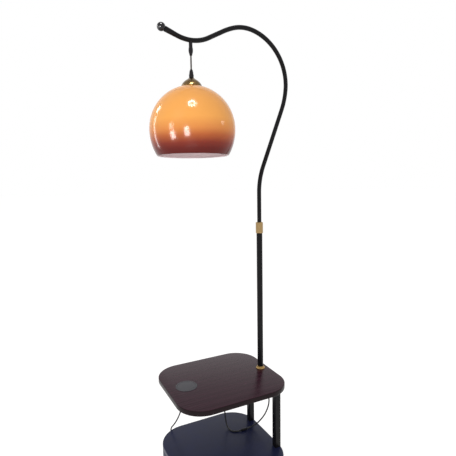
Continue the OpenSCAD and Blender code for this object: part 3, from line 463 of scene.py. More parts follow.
black_paint = surface(
    "black_paint", (0.0050, 0.0046, 0.0055), 0.28, variation=0.25, scale=40, spread=0.04,
    specular=0.14,
)
cabinet_paint = surface(
    "cabinet_paint", (0.0125, 0.0155, 0.0500), 0.36, variation=0.12, scale=26.0, grain=0.06,
    grain_scale=1500, specular=0.14
)
board_black = surface("board_black", (0.012, 0.012, 0.016), 0.6, variation=0.2, grain=0.2, specular=0.2)
zinc = surface("zinc_plate", (0.50, 0.51, 0.53), 0.32, metallic=1.0, variation=0.1, scale=260)
brass = surface("brass", (0.36, 0.23, 0.085), 0.24, metallic=1.0, variation=0.10, scale=160, spread=0.05)
bronze = surface(
    "bronze", (0.155, 0.098, 0.040), 0.20, metallic=1.0, variation=0.25, scale=90, spread=0.05,
    stretch=(1, 1, 3),
)
espresso = wood(
    "espresso_wood", (0.0265, 0.0070, 0.0145), (0.0360, 0.0105, 0.0200), 0.27, 0.12, 11.0, 0.02
)
# The tabletop's sides and rounded edge are a darker colour than its top. This is painted shade, for light
# that falls from above.
espresso_edge_painted_shade = surface(
    "espresso_edge_painted_shade", (0.0080, 0.0026, 0.0040), 0.30, variation=0.15, scale=30, specular=0.12
)
birch = wood("drawer_wood", (0.42, 0.27, 0.15), (0.58, 0.41, 0.25), 0.5, 0.3, 9.0, 0.3, along="Y")
pad_rubber = surface(
    "pad_rubber", (0.070, 0.069, 0.078), 0.62, variation=0.06, grain=0.3, grain_scale=2600, specular=0.3
)
black_plastic = surface(
    "black_plastic", (0.009, 0.008, 0.010), 0.36, variation=0.15, grain=0.05, specular=0.22
)
white_plastic = surface("white_plastic", (0.72, 0.70, 0.66), 0.35, variation=0.04, grain=0.05)
copper = surface("copper_winding", (0.62, 0.25, 0.11), 0.3, metallic=1.0, variation=0.15, scale=300)
circuit = surface("circuit_board", (0.02, 0.10, 0.045), 0.4, variation=0.3, scale=400)
cord_black = surface("cord_rubber", (0.012, 0.012, 0.013), 0.46, variation=0.15, grain=0.18, grain_scale=1800)
cord_smoke = surface("pendant_cord", (0.035, 0.026, 0.018), 0.35, variation=0.2, scale=500, grain=0.2)
shade_coat = height_ramp(
    "amber_glass", SHADE_Z - 0.080, SHADE_Z + 0.060,
    [
        (0.00, (0.104, 0.007, 0.004)),
        (0.13, (0.132, 0.010, 0.006)),
        (0.24, (0.222, 0.028, 0.014)),
        (0.38, (0.455, 0.110, 0.032)),
        (0.51, (0.690, 0.244, 0.060)),
        (0.72, (0.840, 0.370, 0.086)),
    ],
    0.15, Specular_IOR_Level=0.19,
)
shade_lining = surface("shade_lining", (0.98, 0.84, 0.85), 0.14, variation=0.02, scale=30, spread=0.02)
bulb_glass = surface("bulb_glass", (0.90, 0.88, 0.83), 0.18, variation=0.02, scale=60, spread=0.03, coat=0.3)
brass_satin = surface(
    "brass_satin", (0.37, 0.25, 0.115), 0.34, metallic=1.0, variation=0.05, spread=0.05
)
black_gloss = surface("black_gloss", (0.006, 0.006, 0.008), 0.16, variation=0.2, specular=0.35)
rocker_plastic = surface("rocker_plastic", (0.03, 0.03, 0.033), 0.3, variation=0.1, grain=0.05)

CAD_LOOKS = {
    "board_black": board_black, "drawer_wood": birch, "black_steel": black_paint,
    "zinc_steel": zinc, "brass": brass, "bronze": bronze, "table_wood": espresso,
    "pad_rubber": pad_rubber, "black_plastic": black_plastic, "white_plastic": white_plastic,
    "copper": copper, "circuit": circuit, "amber_glass": shade_coat, "bulb_glass": bulb_glass,
    "cord_rubber": cord_black, "cabinet_paint": cabinet_paint,
}


def dress_cad():
    """Gives every CAD node the look of its own material slot."""
    for entry in frame["record"]["subparts"]:
        target = frame["nodes"][entry["node"]]
        look = CAD_LOOKS[entry["material_slot"]]
        if not target.material_slots:
            target.data.materials.append(look)
        for held in target.material_slots:
            held.link = "OBJECT"
            held.material = look


dress_cad()


# ---------- sizes read from the frame ----------

TABLE = extents("tabletop")
TABLE_CORNER = 80 * MM
LID = extents("cabinet_top_board")
SHEET = extents("cabinet_skin")
CABINET_HALF = LID.high.x
CABINET_CORNER = 92 * MM
CABINET_FLAT = CABINET_HALF - CABINET_CORNER
SKIN = 2 * MM
FRONT_THICKNESS = 14 * MM
OPENING_HALF = 151.25 * MM  # half the width that the drawers open at the front
PLINTH = extents("plinth")
POLE = extents("pole")
FERRULE = extents("ferrule")
COLLAR = extents("foot_collar")
PAD = extents("charger_pad")
NECK_R = 6.75 * MM
NECK_FOOT = extents("neck").low.z
CAP = extents("shade_cap")
GRIP = extents("upper_cord_grip")
PENDANT_CORD = extents("pendant_cord")
LOWER_GRIP = extents("lower_cord_grip")
HOLDER = extents("lampholder")
RING = extents("shade_ring")
BULB = extents("bulb_dome")
BULB_CAP = extents("bulb_cap")
GLASS = 3 * MM
FULLNESS = 1.1  # of the glass below its middle


# ---------- cords ----------

CORD_R = 2.3 * MM
LIE = 2.5  # height of a lying cord's middle, in mm
UNDER = 524  # underside of the tabletop
LID_Z = 308  # top of the cabinet
OUTLET_Z = 512  # the charger's outlets
COIL_X, COIL_Y = 20, 232
COIL_MID_R = 27
COIL_STEP = 4.6
PLUG_X, PLUG_Y, PLUG_Z = 79, 230, 10

LAMP_ROUTE = [
    (-64, 0, OUTLET_Z), (-51, 0.8, OUTLET_Z + 0.4), (-31, 6.5, UNDER - 8),
    (-10, 22, UNDER - LIE - 1), (8, 40, UNDER - LIE - 1), (20, 52, UNDER - 9.5),
    (28.5, 60, UNDER - 25), (36.5, 68, UNDER - 57), (45, 76, UNDER - 104),
    (51, 80, LID_Z + 72), (55, 82, LID_Z + 44), (57.2, 81.4, LID_Z + 24),
    (58, 78.6, LID_Z + 13.6), (59.3, 71.5, LID_Z + 5.9),
    (61.2, 61.4, LID_Z + 2.9), (64.6, 51.6, LID_Z + LIE),
    (71.4, 44.6, LID_Z + LIE), (80.8, 40.5, LID_Z + LIE), (92, 38.4, LID_Z + 3.4),
    (104, 37, LID_Z + 4), (117, 37.3, LID_Z + 4), (130, 38, LID_Z + 4.6),
    (141.5, 35, LID_Z + 9), (149.5, 27.8, LID_Z + 17.5), (154.5, 18, LID_Z + 30),
    (158.5, 6.5, LID_Z + 46), (163, -6, LID_Z + 67), (168, -15.5, LID_Z + 92),
    (170.8, -19.5, UNDER - 101), (170, -18.5, UNDER - 80),
    (165.5, -14, UNDER - 63), (158.5, -7.5, UNDER - 49),
    (152.6, -2.2, UNDER - 37), (150, 0, UNDER - 25), (150, 0, 510.5),
]
SUPPLY_ROUTE = [
    (-116, 52, OUTLET_Z), (-116, 60, OUTLET_Z - 0.4), (-116, 69.5, OUTLET_Z - 3.8),
    (-115.7, 76.8, OUTLET_Z - 11.2), (-114.8, 80.6, OUTLET_Z - 23), (-112.5, 83, OUTLET_Z - 42),
    (-108, 86.5, OUTLET_Z - 63), (-103.6, 92, OUTLET_Z - 86), (-102.3, 101, LID_Z + 95),
    (-105, 113.5, LID_Z + 71), (-110, 129, LID_Z + 45), (-114, 146, LID_Z + 24),
    (-115.8, 159, LID_Z + 10.6), (-116, 167, LID_Z - 2), (-115, 171, LID_Z - 17),
    (-113, 172, LID_Z - 40), (-111, 171, 200), (-111, 171, 110), (-111, 171, 60),
    (-111, 172, 40), (-110.5, 176, 25), (-109.5, 183, 13.5), (-106.5, 192, 8.2),
    (-101, 199.5, 7), (-92, 204.4, 7), (-81, 206, 7), (-52, 206, 7), (-23, 206, 7),
    (-11, 205, 5), (6, 202, LIE), (COIL_X, COIL_Y - COIL_MID_R - COIL_STEP, LIE),
]
TAIL_ROUTE = [
    (COIL_X, COIL_Y - COIL_MID_R - COIL_STEP, 6.9), (34, 200.6, 6.6), (48, 202, 6.2),
    (61, 206, 7), (71, 213, 8.5), (77, 222, 10), (PLUG_X, PLUG_Y, PLUG_Z),
]


def coil_turns():
    """Six turns: inwards along the floor, up a layer, and outwards again."""
    columns, rows, per_turn = 3, 2, 28
    straight = 0.7  # share of a turn before it shifts to the next place
    rise = COIL_STEP - 0.2
    made = []
    for turn in range(columns * rows):
        row = turn // columns
        column = turn % columns if row == 0 else columns - 1 - turn % columns
        following = min(turn + 1, columns * rows - 1)
        next_row = following // columns
        next_column = following % columns if next_row == 0 else columns - 1 - following % columns
        for k in range(per_turn):
            t = max((k / per_turn - straight) / (1 - straight), 0)
            t = t * t * (3 - 2 * t)
            r0, r1 = (COIL_MID_R + COIL_STEP * (1 - c) for c in (column, next_column))
            z0, z1 = (LIE + rise * z for z in (row, next_row))
            a = -math.pi / 2 + 2 * math.pi * k / per_turn
            r = r0 + (r1 - r0) * t
            made.append((COIL_X + r * math.cos(a), COIL_Y + r * math.sin(a), z0 + (z1 - z0) * t))
    return made


def make_cords():
    steps = 5
    lamp_path = smooth(millimetres(*LAMP_ROUTE), steps)
    lamp = cord_curve("lamp_cord", lamp_path, "lamp_lead")
    make_connector()
    whole = (
        smooth(millimetres(*SUPPLY_ROUTE), steps)[:-1]
        + [Vector(p) for p in millimetres(*coil_turns())]
        + smooth(millimetres(*TAIL_ROUTE), steps)
    )
    supply = cord_curve("supply_cord", whole, "supply_lead", "supply_coil", "supply_tail")
    make_plug() + make_switch() + [make_coil_tie()]
    return path_length(lamp_path), path_length(whole)


# ---------- cabinet, table and charger ----------


def soften(bm, size, segments=2):
    """Rounds every sharp edge."""
    bmesh.ops.remove_doubles(bm, verts=bm.verts, dist=WELD)
    bmesh.ops.recalc_face_normals(bm, faces=bm.faces)
    limit = math.radians(35)
    edges = [e for e in bm.edges if len(e.link_faces) == 2 and e.calc_face_angle(0) > limit]
    bmesh.ops.bevel(
        bm, geom=edges, offset=size, segments=segments, profile=0.5, affect="EDGES",
        clamp_overlap=True,
    )


def strip(bm, outer, inner, low, high):
    """A bent plate: two plan outlines of the same count, between two heights."""
    (outer_low, outer_high), (inner_low, inner_high) = (
        [[bm.verts.new((x, y, z)) for x, y in line] for z in (low, high)] for line in (outer, inner)
    )
    for k in range(len(outer) - 1):
        j = k + 1
        bm.faces.new((outer_low[k], outer_low[j], outer_high[j], outer_high[k]))
        bm.faces.new((inner_low[j], inner_low[k], inner_high[k], inner_high[j]))
        bm.faces.new((outer_high[k], outer_high[j], inner_high[j], inner_high[k]))
        bm.faces.new((inner_low[k], inner_low[j], outer_low[j], outer_low[k]))
    for k in (0, -1):
        bm.faces.new((outer_low[k], outer_high[k], inner_high[k], inner_low[k]))


def corner_arc(sx, sy, first, last, inset, steps=18):
    """Points of one round corner of the cabinet's plan, between two angles in degrees."""
    r = CABINET_CORNER - inset
    return [
        (sx * CABINET_FLAT + r * math.cos(a), sy * CABINET_FLAT + r * math.sin(a))
        for a in (math.radians(first + (last - first) * k / steps) for k in range(steps + 1))
    ]


def front_angle(half_width, inset=0.0):
    """How far round a front corner a width reaches, in degrees from the corner's middle."""
    return math.degrees(math.acos((half_width - CABINET_FLAT) / (CABINET_CORNER - inset)))


def make_cabinet():
    bm = bmesh.new()
    half = PLINTH.high.x
    corner = CABINET_CORNER - (CABINET_HALF - half)
    board(bm, half, half, corner, PLINTH.low.z, PLINTH.high.z, 0.6 * MM)
    add("plinth_board", bm, "stand", "board_black", "plinth")

    bm = bmesh.new()
    half, corner = CABINET_HALF, CABINET_CORNER
    board(bm, half, half, corner, LID.low.z, LID.high.z, 3 * MM, under=1 * MM)
    add("cabinet_lid", bm, "stand", "cabinet_paint", "cabinet_top_board")

    bm = bmesh.new()
    reach = front_angle(OPENING_HALF)
    outer, inner = (
        corner_arc(-1, -1, 180 + reach, 180, inset) + corner_arc(-1, 1, 180, 90, inset)
        + corner_arc(1, 1, 90, 0, inset) + corner_arc(1, -1, 360, 360 - reach, inset)
        for inset in (0.0, SKIN)
    )
    sill = extents("cabinet_bottom").high.z
    strip(bm, outer, inner, sill, SHEET.high.z)
    soften(bm, 0.5 * MM)
    add("cabinet_sheet", bm, "stand", "cabinet_paint", "cabinet_skin")

    bm = bmesh.new()
    outer, inner = (loop_outline(half - inset, half - inset, corner - inset, 18) for inset in (0.0, SKIN))
    strip(bm, outer + outer[:1], inner + inner[:1], SHEET.low.z, sill)
    add("cabinet_skirt", bm, "stand", "cabinet_paint")


def front_outline(half_width, inset):
    """The curved front from one side of a width to the other."""
    reach = front_angle(half_width, inset)
    return corner_arc(-1, -1, 180 + reach, 270, inset) + corner_arc(1, -1, 270, 360 - reach, inset)


def make_drawer(level):
    body = f"{level}_drawer"
    front = extents(f"{level}_drawer_front")
    bm = bmesh.new()
    outer, inner = (front_outline(front.high.x, inset) for inset in (0.0, FRONT_THICKNESS))
    strip(bm, outer, inner, front.low.z, front.high.z)
    soften(bm, 1.2 * MM, 3)
    add(f"{level}_front_panel", bm, body, "cabinet_paint", f"{level}_drawer_front")
    knob = extents(f"{level}_drawer_knob")
    place = at(0, -CABINET_HALF, knob.middle.z) @ Matrix.Rotation(math.pi / 2, 4, "X")
    reach = (-CABINET_HALF - knob.low.y) / MM
    r = knob.high.x / MM
    outline = millimetres(
        (0, -0.5), (r * 0.62, -0.5), (r * 0.62, 1.2), (r * 0.44, 2.6), (r * 0.36, 6),
        (r * 0.38, 10), (r * 0.55, 13), (r * 0.92, 15.2), (r, 17), (r, reach - 3.4),
        (r * 0.93, reach - 1.2), (r * 0.72, reach - 0.2), (r * 0.66, reach - 0.7),
        (r * 0.3, reach - 0.2), (0, reach),
    )
    turned(
        f"{level}_knob", rounded_profile(outline, 1.2 * MM), place, 64,
        body, "brass", f"{level}_drawer_knob",
    )


def make_posts():
    for name in ("front_post", "back_post"):
        post = extents(name)
        bm = bmesh.new()
        outline = loop_outline(post.r, post.r, 2.2 * MM, 5)
        rings = [[(x, y, z) for x, y in outline] for z in (post.low.z, post.high.z)]
        layers(bm, rings, at(post.middle.x, post.middle.y, 0))
        add(name + "_tube", bm, "stand", "black_steel", name)
    bracket = extents("table_bracket")
    bm = bmesh.new()
    block(bm, bracket.low, bracket.high, 0.6 * MM)
    add("bracket_plate", bm, "stand", "black_steel", "table_bracket")


def make_tabletop():
    bm = bmesh.new()
    board(bm, TABLE.high.x, TABLE.high.y, TABLE_CORNER, TABLE.low.z, TABLE.high.z, 2 * MM, steps=28)
    mesh = finished(bm, "tabletop_board")
    mesh.materials.append(espresso)
    mesh.materials.append(espresso_edge_painted_shade)
    # Faces that do not face up take the darker material: painted shade on the sides.
    for polygon in mesh.polygons:
        polygon.material_index = int(polygon.normal.z < 0.8)
    link("tabletop_board", mesh, "stand", "table_wood", "tabletop")
    groove = 0.35
    height = PAD.height / MM
    edge = PAD.r / MM
    outline = [(0, 0), (edge, 0), (edge, height * 0.5), (edge - 0.8, height)]
    for r in (28.5, 27.3):
        inner = r - 0.6
        outline += [
            (r, height), (r - groove * 0.4, height - groove),
            (inner + groove * 0.4, height - groove), (inner, height),
        ]
    outline.append((0, height))
    outline = rounded_profile(millimetres(*outline), 0.3 * MM, 2)
    place = at(PAD.middle.x, 0, PAD.low.z)
    turned("pad_disc", outline, place, 96, "stand", "pad_rubber", "charger_pad")


def make_reliefs():
    """Ribbed strain reliefs at the charger's two outlets."""
    length = 22
    start = 30 * MM
    outline = [(0, -0.4), (4.7, -0.4), (4.7, 2.2), (4.1, 2.8)]
    for k in range(7):
        z = 3.4 + 2.5 * k
        r = 4.1 - 1.25 * z / length
        outline += [(r, z), (r, z + 1.3), (r - 0.6, z + 1.5), (r - 0.6, z + 2.3)]
    outline += [(2.8, length - 0.4), (2.5, length), (0, length)]
    outline = rounded_profile(millimetres(*outline), 0.25 * MM, 2)
    reliefs = (("relief_lamp", 0, "cord_reliefs"), ("relief_supply", 90, None))
    for name, turn, replaced in reliefs:
        place = (
            at(PAD.middle.x, 0, OUTLET_Z * MM) @ Matrix.Rotation(math.radians(turn), 4, "Z")
            @ at(start, 0, 0) @ Matrix.Rotation(math.pi / 2, 4, "Y")
        )
        turned(name, outline, place, 32, "stand", "black_plastic", replaced)


# ---------- pole and neck ----------


def on_pole(z):
    return at(POLE.middle.x, 0, z)


def make_pole():
    height = COLLAR.height / MM
    r = COLLAR.r / MM
    pole_r = POLE.r / MM
    rise = pole_r + 1.7
    outline = millimetres(
        (pole_r, 0), (r - 0.3, 0), (r, 0.6), (r, 1.8), (r - 0.9, 2.7), (r - 2.4, 3.1),
        (rise + 0.6, 4.4), (rise, 5.6), (rise, height - 1.0), (rise - 0.7, height),
        (pole_r, height),
    )
    turned(
        "foot_ring", rounded_profile(outline, 0.7 * MM), on_pole(COLLAR.low.z), 72,
        "stand", "brass", "foot_collar", closed=True,
    )
    outline = [(POLE.r, POLE.low.z), (POLE.r, POLE.high.z)]
    turned("pole_tube", outline, on_pole(0), 64, "stand", "black_steel", "pole")
    height = FERRULE.height / MM
    r = FERRULE.r / MM
    bore = NECK_R / MM + 0.05
    turn = 2.4
    outline = millimetres(
        (pole_r, 0), (r - 1.4, 0), (r - 0.4, 0.7), (r, turn), (r, height - turn),
        (r - 0.7, height - 0.7), (r - turn, height), (bore, height), (bore, height / 2),
        (pole_r, height / 2),
    )
    turned(
        "brass_ferrule", rounded_profile(outline, 0.9 * MM), on_pole(FERRULE.low.z), 72,
        "stand", "brass", "ferrule", brass_satin, closed=True,
    )


# The swan neck's straights (mm), bend radii (mm) and turns (degrees, left positive)
NECK_BENDS = [
    (95, 230, -21.5), (195, 240, 15.5), (0, 156, 84), (0, 125, 30), (0, 215, 10), (56, 120, -48),
]
NECK_TIP = 48 * MM  # straight end of the neck, up to the ball's middle
BALL_R = 12 * MM
SLEEVE = 34 * MM  # length of the sleeve under the ball


def neck_line():
    """The neck's centreline in the X-Z plane from its foot, and the heading at its end."""
    x, z, heading = POLE.middle.x, NECK_FOOT, 90.0
    line = [(x, 0, z)]
    lead = FERRULE.high.z - NECK_FOOT
    for straight, radius, turn in NECK_BENDS:
        length = straight * MM + lead
        lead = 0
        if length > 0:
            pieces = max(int(length / (12 * MM)), 1)
            for _ in range(pieces):
                x += length / pieces * math.cos(math.radians(heading))
                z += length / pieces * math.sin(math.radians(heading))
                line.append((x, 0, z))
        steps = max(int(abs(turn) / 2), 4)
        for _ in range(steps):
            chord = 2 * radius * MM * math.sin(math.radians(abs(turn) / steps / 2))
            heading += turn / steps / 2
            x += chord * math.cos(math.radians(heading))
            z += chord * math.sin(math.radians(heading))
            heading += turn / steps / 2
            line.append((x, 0, z))
    return line, heading


def make_neck():
    line, heading = neck_line()
    ahead = Vector((math.cos(math.radians(heading)), 0, math.sin(math.radians(heading))))
    ball = Vector(line[-1]) + ahead * NECK_TIP
    end = ball - ahead * BALL_R * 0.8
    pieces = 4
    for k in range(pieces):
        line.append(tuple(Vector(line[-1]).lerp(end, 1 / (pieces - k))))
    bm = bmesh.new()
    sweep(bm, line, NECK_R, 40)
    add("swan_tube", bm, "swan_neck", "black_steel", "neck")

    turn = Matrix.Rotation(math.radians(90 - heading), 4, "Y")
    seat = math.sqrt(BALL_R**2 - (NECK_R - MM) ** 2)
    outline = [
        (NECK_R - 0.2 * MM, 0), (NECK_R + 0.2 * MM, 0), (NECK_R + 1.1 * MM, SLEEVE - 1.2 * MM),
        (NECK_R + 0.6 * MM, SLEEVE), (NECK_R - 0.2 * MM, SLEEVE),
    ]
    place = Matrix.Translation(ball - ahead * (seat + SLEEVE)) @ turn
    turned(
        "tip_sleeve", rounded_profile(outline, 0.6 * MM), place, 48,
        "swan_neck", "black_steel", "finial_sleeve", closed=True,
    )
    lowest = math.acos(NECK_R / BALL_R)
    steps = 28
    arc = [
        (BALL_R * math.cos(a), BALL_R * math.sin(a))
        for a in (-lowest + (math.pi / 2 + lowest) * k / steps for k in range(steps))
    ]
    turned(
        "ball_knob", [(NECK_R * 0.9, -seat - MM)] + arc + [(0, BALL_R)],
        Matrix.Translation(ball) @ turn, 56, "swan_neck", "black_steel", "ball_finial", black_gloss,
    )


# ---------- pendant ----------


def hang(z):
    return at(CAP.middle.x, 0, z)


def make_pendant():
    grip_top = 39
    outline = millimetres(
        (2.7, 0), (3.6, 0), (3.9, 0.8), (4.4, 4), (5.9, 9), (6.4, 12), (6.4, 17), (5.8, 21.5),
        (5.3, 24), (5.3, grip_top), (0, grip_top),
    )
    turned(
        "upper_grip", millimetres((0, 3), (2.7, 3)) + rounded_profile(outline, 1.5 * MM),
        hang(GRIP.low.z), 48, "swan_neck", "black_plastic", "upper_cord_grip",
    )
    r = PENDANT_CORD.r
    outline = [(r, LOWER_GRIP.high.z - 4 * MM), (r, PENDANT_CORD.high.z)]
    turned("hanging_cord", outline, hang(0), 24, "pendant", "cord_rubber", "pendant_cord", cord_smoke)
    height = LOWER_GRIP.height / MM
    outline = millimetres(
        (0, 0), (6.8, 0), (6.9, 0.6), (6.9, 3), (6.5, 3.5), (6.5, 4.2), (6.9, 4.7), (6.9, 8),
        (5.9, 10.6), (5.6, 16), (4.4, 20.5), (3.3, height - 0.8), (2.8, height), (0, height),
    )
    turned(
        "lower_grip", rounded_profile(outline, 0.6 * MM), hang(LOWER_GRIP.low.z), 48,
        "pendant", "black_plastic", "lower_cord_grip",
    )
    make_cap()


def make_cap():
    """The bell-shaped metal cap on the glass, as one thin wall."""
    r = CAP.r / MM
    height = CAP.height / MM
    wall, rim, hole_r = 1.4, 1.4, 4.3
    steps = 6
    key = millimetres(
        (r, rim, 0), (r * 0.94, height * 0.22, 0), (r * 0.80, height * 0.46, 0),
        (r * 0.62, height * 0.66, 0), (r * 0.46, height * 0.79, 0), (r * 0.29, height * 0.94, 0),
        (7.0, height - 0.3, 0),
    )
    curve = [(p.x, p.y) for p in smooth(key, steps)]
    lip = millimetres((r - 1.2, 0.1), (r - 0.3, 0), (r, 0.4))
    crown = millimetres((6.6, height), (hole_r, height), (hole_r, height - 3))
    lining = [
        (max(a - wall * MM, hole_r * MM), max(b - wall * MM, MM)) for a, b in curve[:-steps][::-1]
    ]
    turned(
        "bell_cap", lip + curve + crown + lining, hang(CAP.low.z), 72,
        "pendant", "bronze", "shade_cap", closed=True,
    )


def make_shade():
    steps, rim_steps = 44, 6
    rim_round = 0.9 * MM
    high_out = math.acos(HOLDER.r / SHADE_R)
    high_in = math.acos(HOLDER.r / (SHADE_R - GLASS))
    low_out = -math.asin(SHADE_DROP / (SHADE_R * FULLNESS))
    low_in = -math.asin(SHADE_DROP / (SHADE_R * FULLNESS - GLASS))

    def point(a, inset):
        tall = (SHADE_R * FULLNESS if a < 0 else SHADE_R) - inset
        return ((SHADE_R - inset) * math.cos(a), tall * math.sin(a))

    outer = [point(high_out + (low_out - high_out) * k / steps, 0) for k in range(steps + 1)]
    inner = [point(low_in + (high_in - low_in) * k / steps, GLASS) for k in range(steps + 1)]
    first, last = Vector(outer[-1]), Vector(inner[0])
    rim = []
    for k in range(1, rim_steps):
        t = k / rim_steps
        p = first.lerp(last, t)
        rim.append((p.x, max(p.y - math.sin(math.pi * t) * rim_round, -SHADE_DROP)))
    outer[-1] = (first.x, first.y + rim_round)
    inner[0] = (last.x, last.y + rim_round)
    bm = bmesh.new()
    lathe(bm, outer + rim + inner, hang(SHADE_Z), 128, closed=True)
    mesh = finished(bm, "glass_globe")
    mesh.materials.append(shade_coat)
    mesh.materials.append(shade_lining)
    part_way = GLASS * 0.75  # faces further in than this belong to the lining
    for polygon in mesh.polygons:
        x, y, z = polygon.center
        z -= SHADE_Z
        r = math.hypot(x - CAP.middle.x, y)
        tall = SHADE_R * (FULLNESS if z < 0 else 1) - part_way
        inside = (r / (SHADE_R - part_way)) ** 2 + (z / tall) ** 2 < 1
        polygon.material_index = int(inside)
    link("glass_globe", mesh, "pendant", "amber_glass", "shade", sharp=60)


def make_holder():
    """The ribbed lampholder inside the glass."""
    r = HOLDER.r / MM
    height = HOLDER.height / MM
    mouth = 13.7
    outline = [(mouth, 8), (mouth, 0), (r - 1.2, 0), (r - 0.4, 1)]
    for k in range(9):
        z = 2 + 2.4 * k
        outline += [(r, z + 0.4), (r, z + 1.2), (r - 0.7, z + 1.7), (r - 0.7, z + 2.1)]
    outline += [(r, 25), (r, height - 2), (r - 2, height), (0, height)]
    outline = millimetres((0, 8)) + rounded_profile(millimetres(*outline), 0.4 * MM, 2)
    place = hang(HOLDER.low.z)
    turned("holder_shell", outline, place, 64, "pendant", "black_plastic", "lampholder")


def make_ring_nut():
    """The ring that clamps the glass, with a groove in every fourth step round it."""
    r = RING.r
    count = 96
    groove = 0.9 * MM
    height = RING.height
    turns = [2 * math.pi * k / count for k in range(count)]
    hole = [HOLDER.r] * count
    outside = [r - (groove if k % 4 == 0 else 0) for k in range(count)]
    rings = [
        [(reach * math.cos(a), reach * math.sin(a), z) for reach, a in zip(edge, turns)]
        for edge, z in ((hole, 0), (outside, 0), (outside, height), (hole, height))
    ]
    bm = bmesh.new()
    layers(bm, rings, hang(RING.low.z), closed=True)
    add("ring_nut", bm, "pendant", "black_plastic", "shade_ring")


def make_bulb():
    r = BULB.r
    top = BULB.height / MM
    steps = 24
    key = millimetres((15.5, top - 9, 0), (18.5, top - 17, 0), (25, r / MM + 12, 0))
    turns = [math.radians(14 - 104 * k / steps) for k in range(steps)]
    globe = [(r * math.cos(a), r + r * math.sin(a)) for a in turns]
    curve = [(p.x, p.y) for p in smooth(key + [(*globe[0], 0)], 5)]
    outline = millimetres((0, top - 9)) + curve + globe[1:] + [(0, 0)]
    turned("bulb_globe", outline, hang(BULB.low.z), 72, "pendant", "bulb_glass", "bulb_dome")
    collar = millimetres(
        (0, top - 10), (15.4, top - 10), (15.9, top - 9), (14.6, top - 1), (13.3, top), (0, top)
    )
    collar = rounded_profile(collar, 0.6 * MM)
    turned("bulb_collar", collar, hang(BULB.low.z), 56, "pendant", "white_plastic")
    r = BULB_CAP.r / MM
    top = BULB_CAP.height / MM
    root = r - 0.8
    outline = [(0, 0), (root, 0)]
    for k in range(6):
        z = 2.5 + 3.6 * k
        outline += [(root, z), (r, z + 1.0), (r, z + 1.8), (root, z + 2.8)]
    outline += [(r - 1, 25), (8, 27), (5, 30), (4, 31), (4, top), (0, top)]
    outline = rounded_profile(millimetres(*outline), 0.6 * MM, 2)
    turned("bulb_screw", outline, hang(BULB_CAP.low.z), 48, "pendant", "zinc_steel", "bulb_cap")


# ---------- what hangs on the cords ----------


def make_plug():
    """A flat two-pin plug with a ribbed tail; its pins point to +Y."""
    place = at(PLUG_X * MM, PLUG_Y * MM, PLUG_Z * MM) @ Matrix.Rotation(-math.pi / 2, 4, "X")
    # Along the body: distance from the tail, half width, half height, corner
    body = (
        (13, 8.0, 6.6, 4), (14.2, 10.5, 8.6, 4), (17, 12.1, 9.7, 4.5), (21, 12.5, 10, 5),
        (30, 12.5, 10, 5), (33.2, 12.2, 9.7, 5), (34, 11.4, 8.9, 4.4),
    )
    rings = [
        [(x, z, y * MM) for x, z in loop_outline(wide * MM, tall * MM, corner * MM, 8)]
        for y, wide, tall, corner in body
    ]
    bm = bmesh.new()
    layers(bm, rings, place)
    ribs = [(0, 0), (2.9, 0)]
    for k in range(4):
        y = 1.2 + 2.6 * k
        r = 3.3 + 0.5 * k
        ribs += [(r, y), (r + 0.1, y + 1.5), (r - 0.5, y + 1.8), (r - 0.5, y + 2.3)]
    ribs += [(7, 11.6), (7, 13), (0, 13)]
    lathe(bm, rounded_profile(millimetres(*ribs), 0.25 * MM, 2), place, 32)
    plug = add("plug_shell", bm, "stand", "black_plastic", "plug")
    return [plug] + [make_blade(side, place) for side in (-1, 1)]


def make_blade(side, place):
    pitch, thick, wide = 12.7, 1.5, 6.4
    low = Vector(((side * pitch - thick) / 2, -wide / 2, 33)) * MM
    high = Vector(((side * pitch + thick) / 2, wide / 2, 51)) * MM
    bm = bmesh.new()
    block(bm, low, high, 0.35 * MM, place)
    return add(f"blade_{side + 2}", bm, "stand", "zinc_steel")


def make_switch():
    """The line switch in two shells, its bezel and its rocker."""
    box = extents("line_switch")
    half_x, half_y = box.r, (box.high.y - box.low.y) / 2
    corner = 6 * MM
    seam = 8.5 * MM
    gap = 0.25 * MM
    edge = 0.4 * MM
    inset = 0.6 * MM
    place = at(box.middle.x, box.middle.y, 0)
    bm = bmesh.new()
    board(bm, half_x, half_y, corner, 0, seam - gap, edge, place, 8, 1.2 * MM)
    board(bm, half_x, half_y, corner, seam + gap, box.high.z, 3 * MM, place, 8, edge)
    board(
        bm, half_x - inset, half_y - inset, corner - inset, seam - MM, seam + MM, 0.1 * MM,
        place, 8,
    )
    shell = add("switch_shell", bm, "stand", "black_plastic", "line_switch")

    bm = bmesh.new()
    bezel_low = box.high.z - 0.4 * MM
    outside, inside = (
        loop_outline(x * MM, y * MM, 1.6 * MM, 5) for x, y in ((12.2, 8.8), (10.3, 6.8))
    )
    rings = [
        [(x, y, z) for x, y in outline]
        for outline, z in (
            (outside, bezel_low), (outside, box.high.z), (inside, box.high.z), (inside, bezel_low)
        )
    ]
    layers(bm, rings, place, closed=True)
    bezel = add("switch_bezel", bm, "stand", "black_plastic", None, board_black)

    bm = bmesh.new()
    tilt = Matrix.Rotation(math.radians(7), 4, "Y")
    section = millimetres(
        (-9.3, -1), (0, -2.8), (9.3, -1), (9.3, 4.0), (5, 3.3), (0, 3.0), (-5, 3.3), (-9.3, 4.0)
    )
    rings = [[(x, y * MM, z) for x, z in section] for y in (-6.5, 6.5)]
    layers(bm, rings, at(box.middle.x, box.middle.y, 15 * MM) @ tilt)
    soften(bm, 0.5 * MM)
    rocker = add("rocker_cap", bm, "rocker", "black_plastic", "switch_rocker", rocker_plastic)
    return [shell, bezel, rocker]


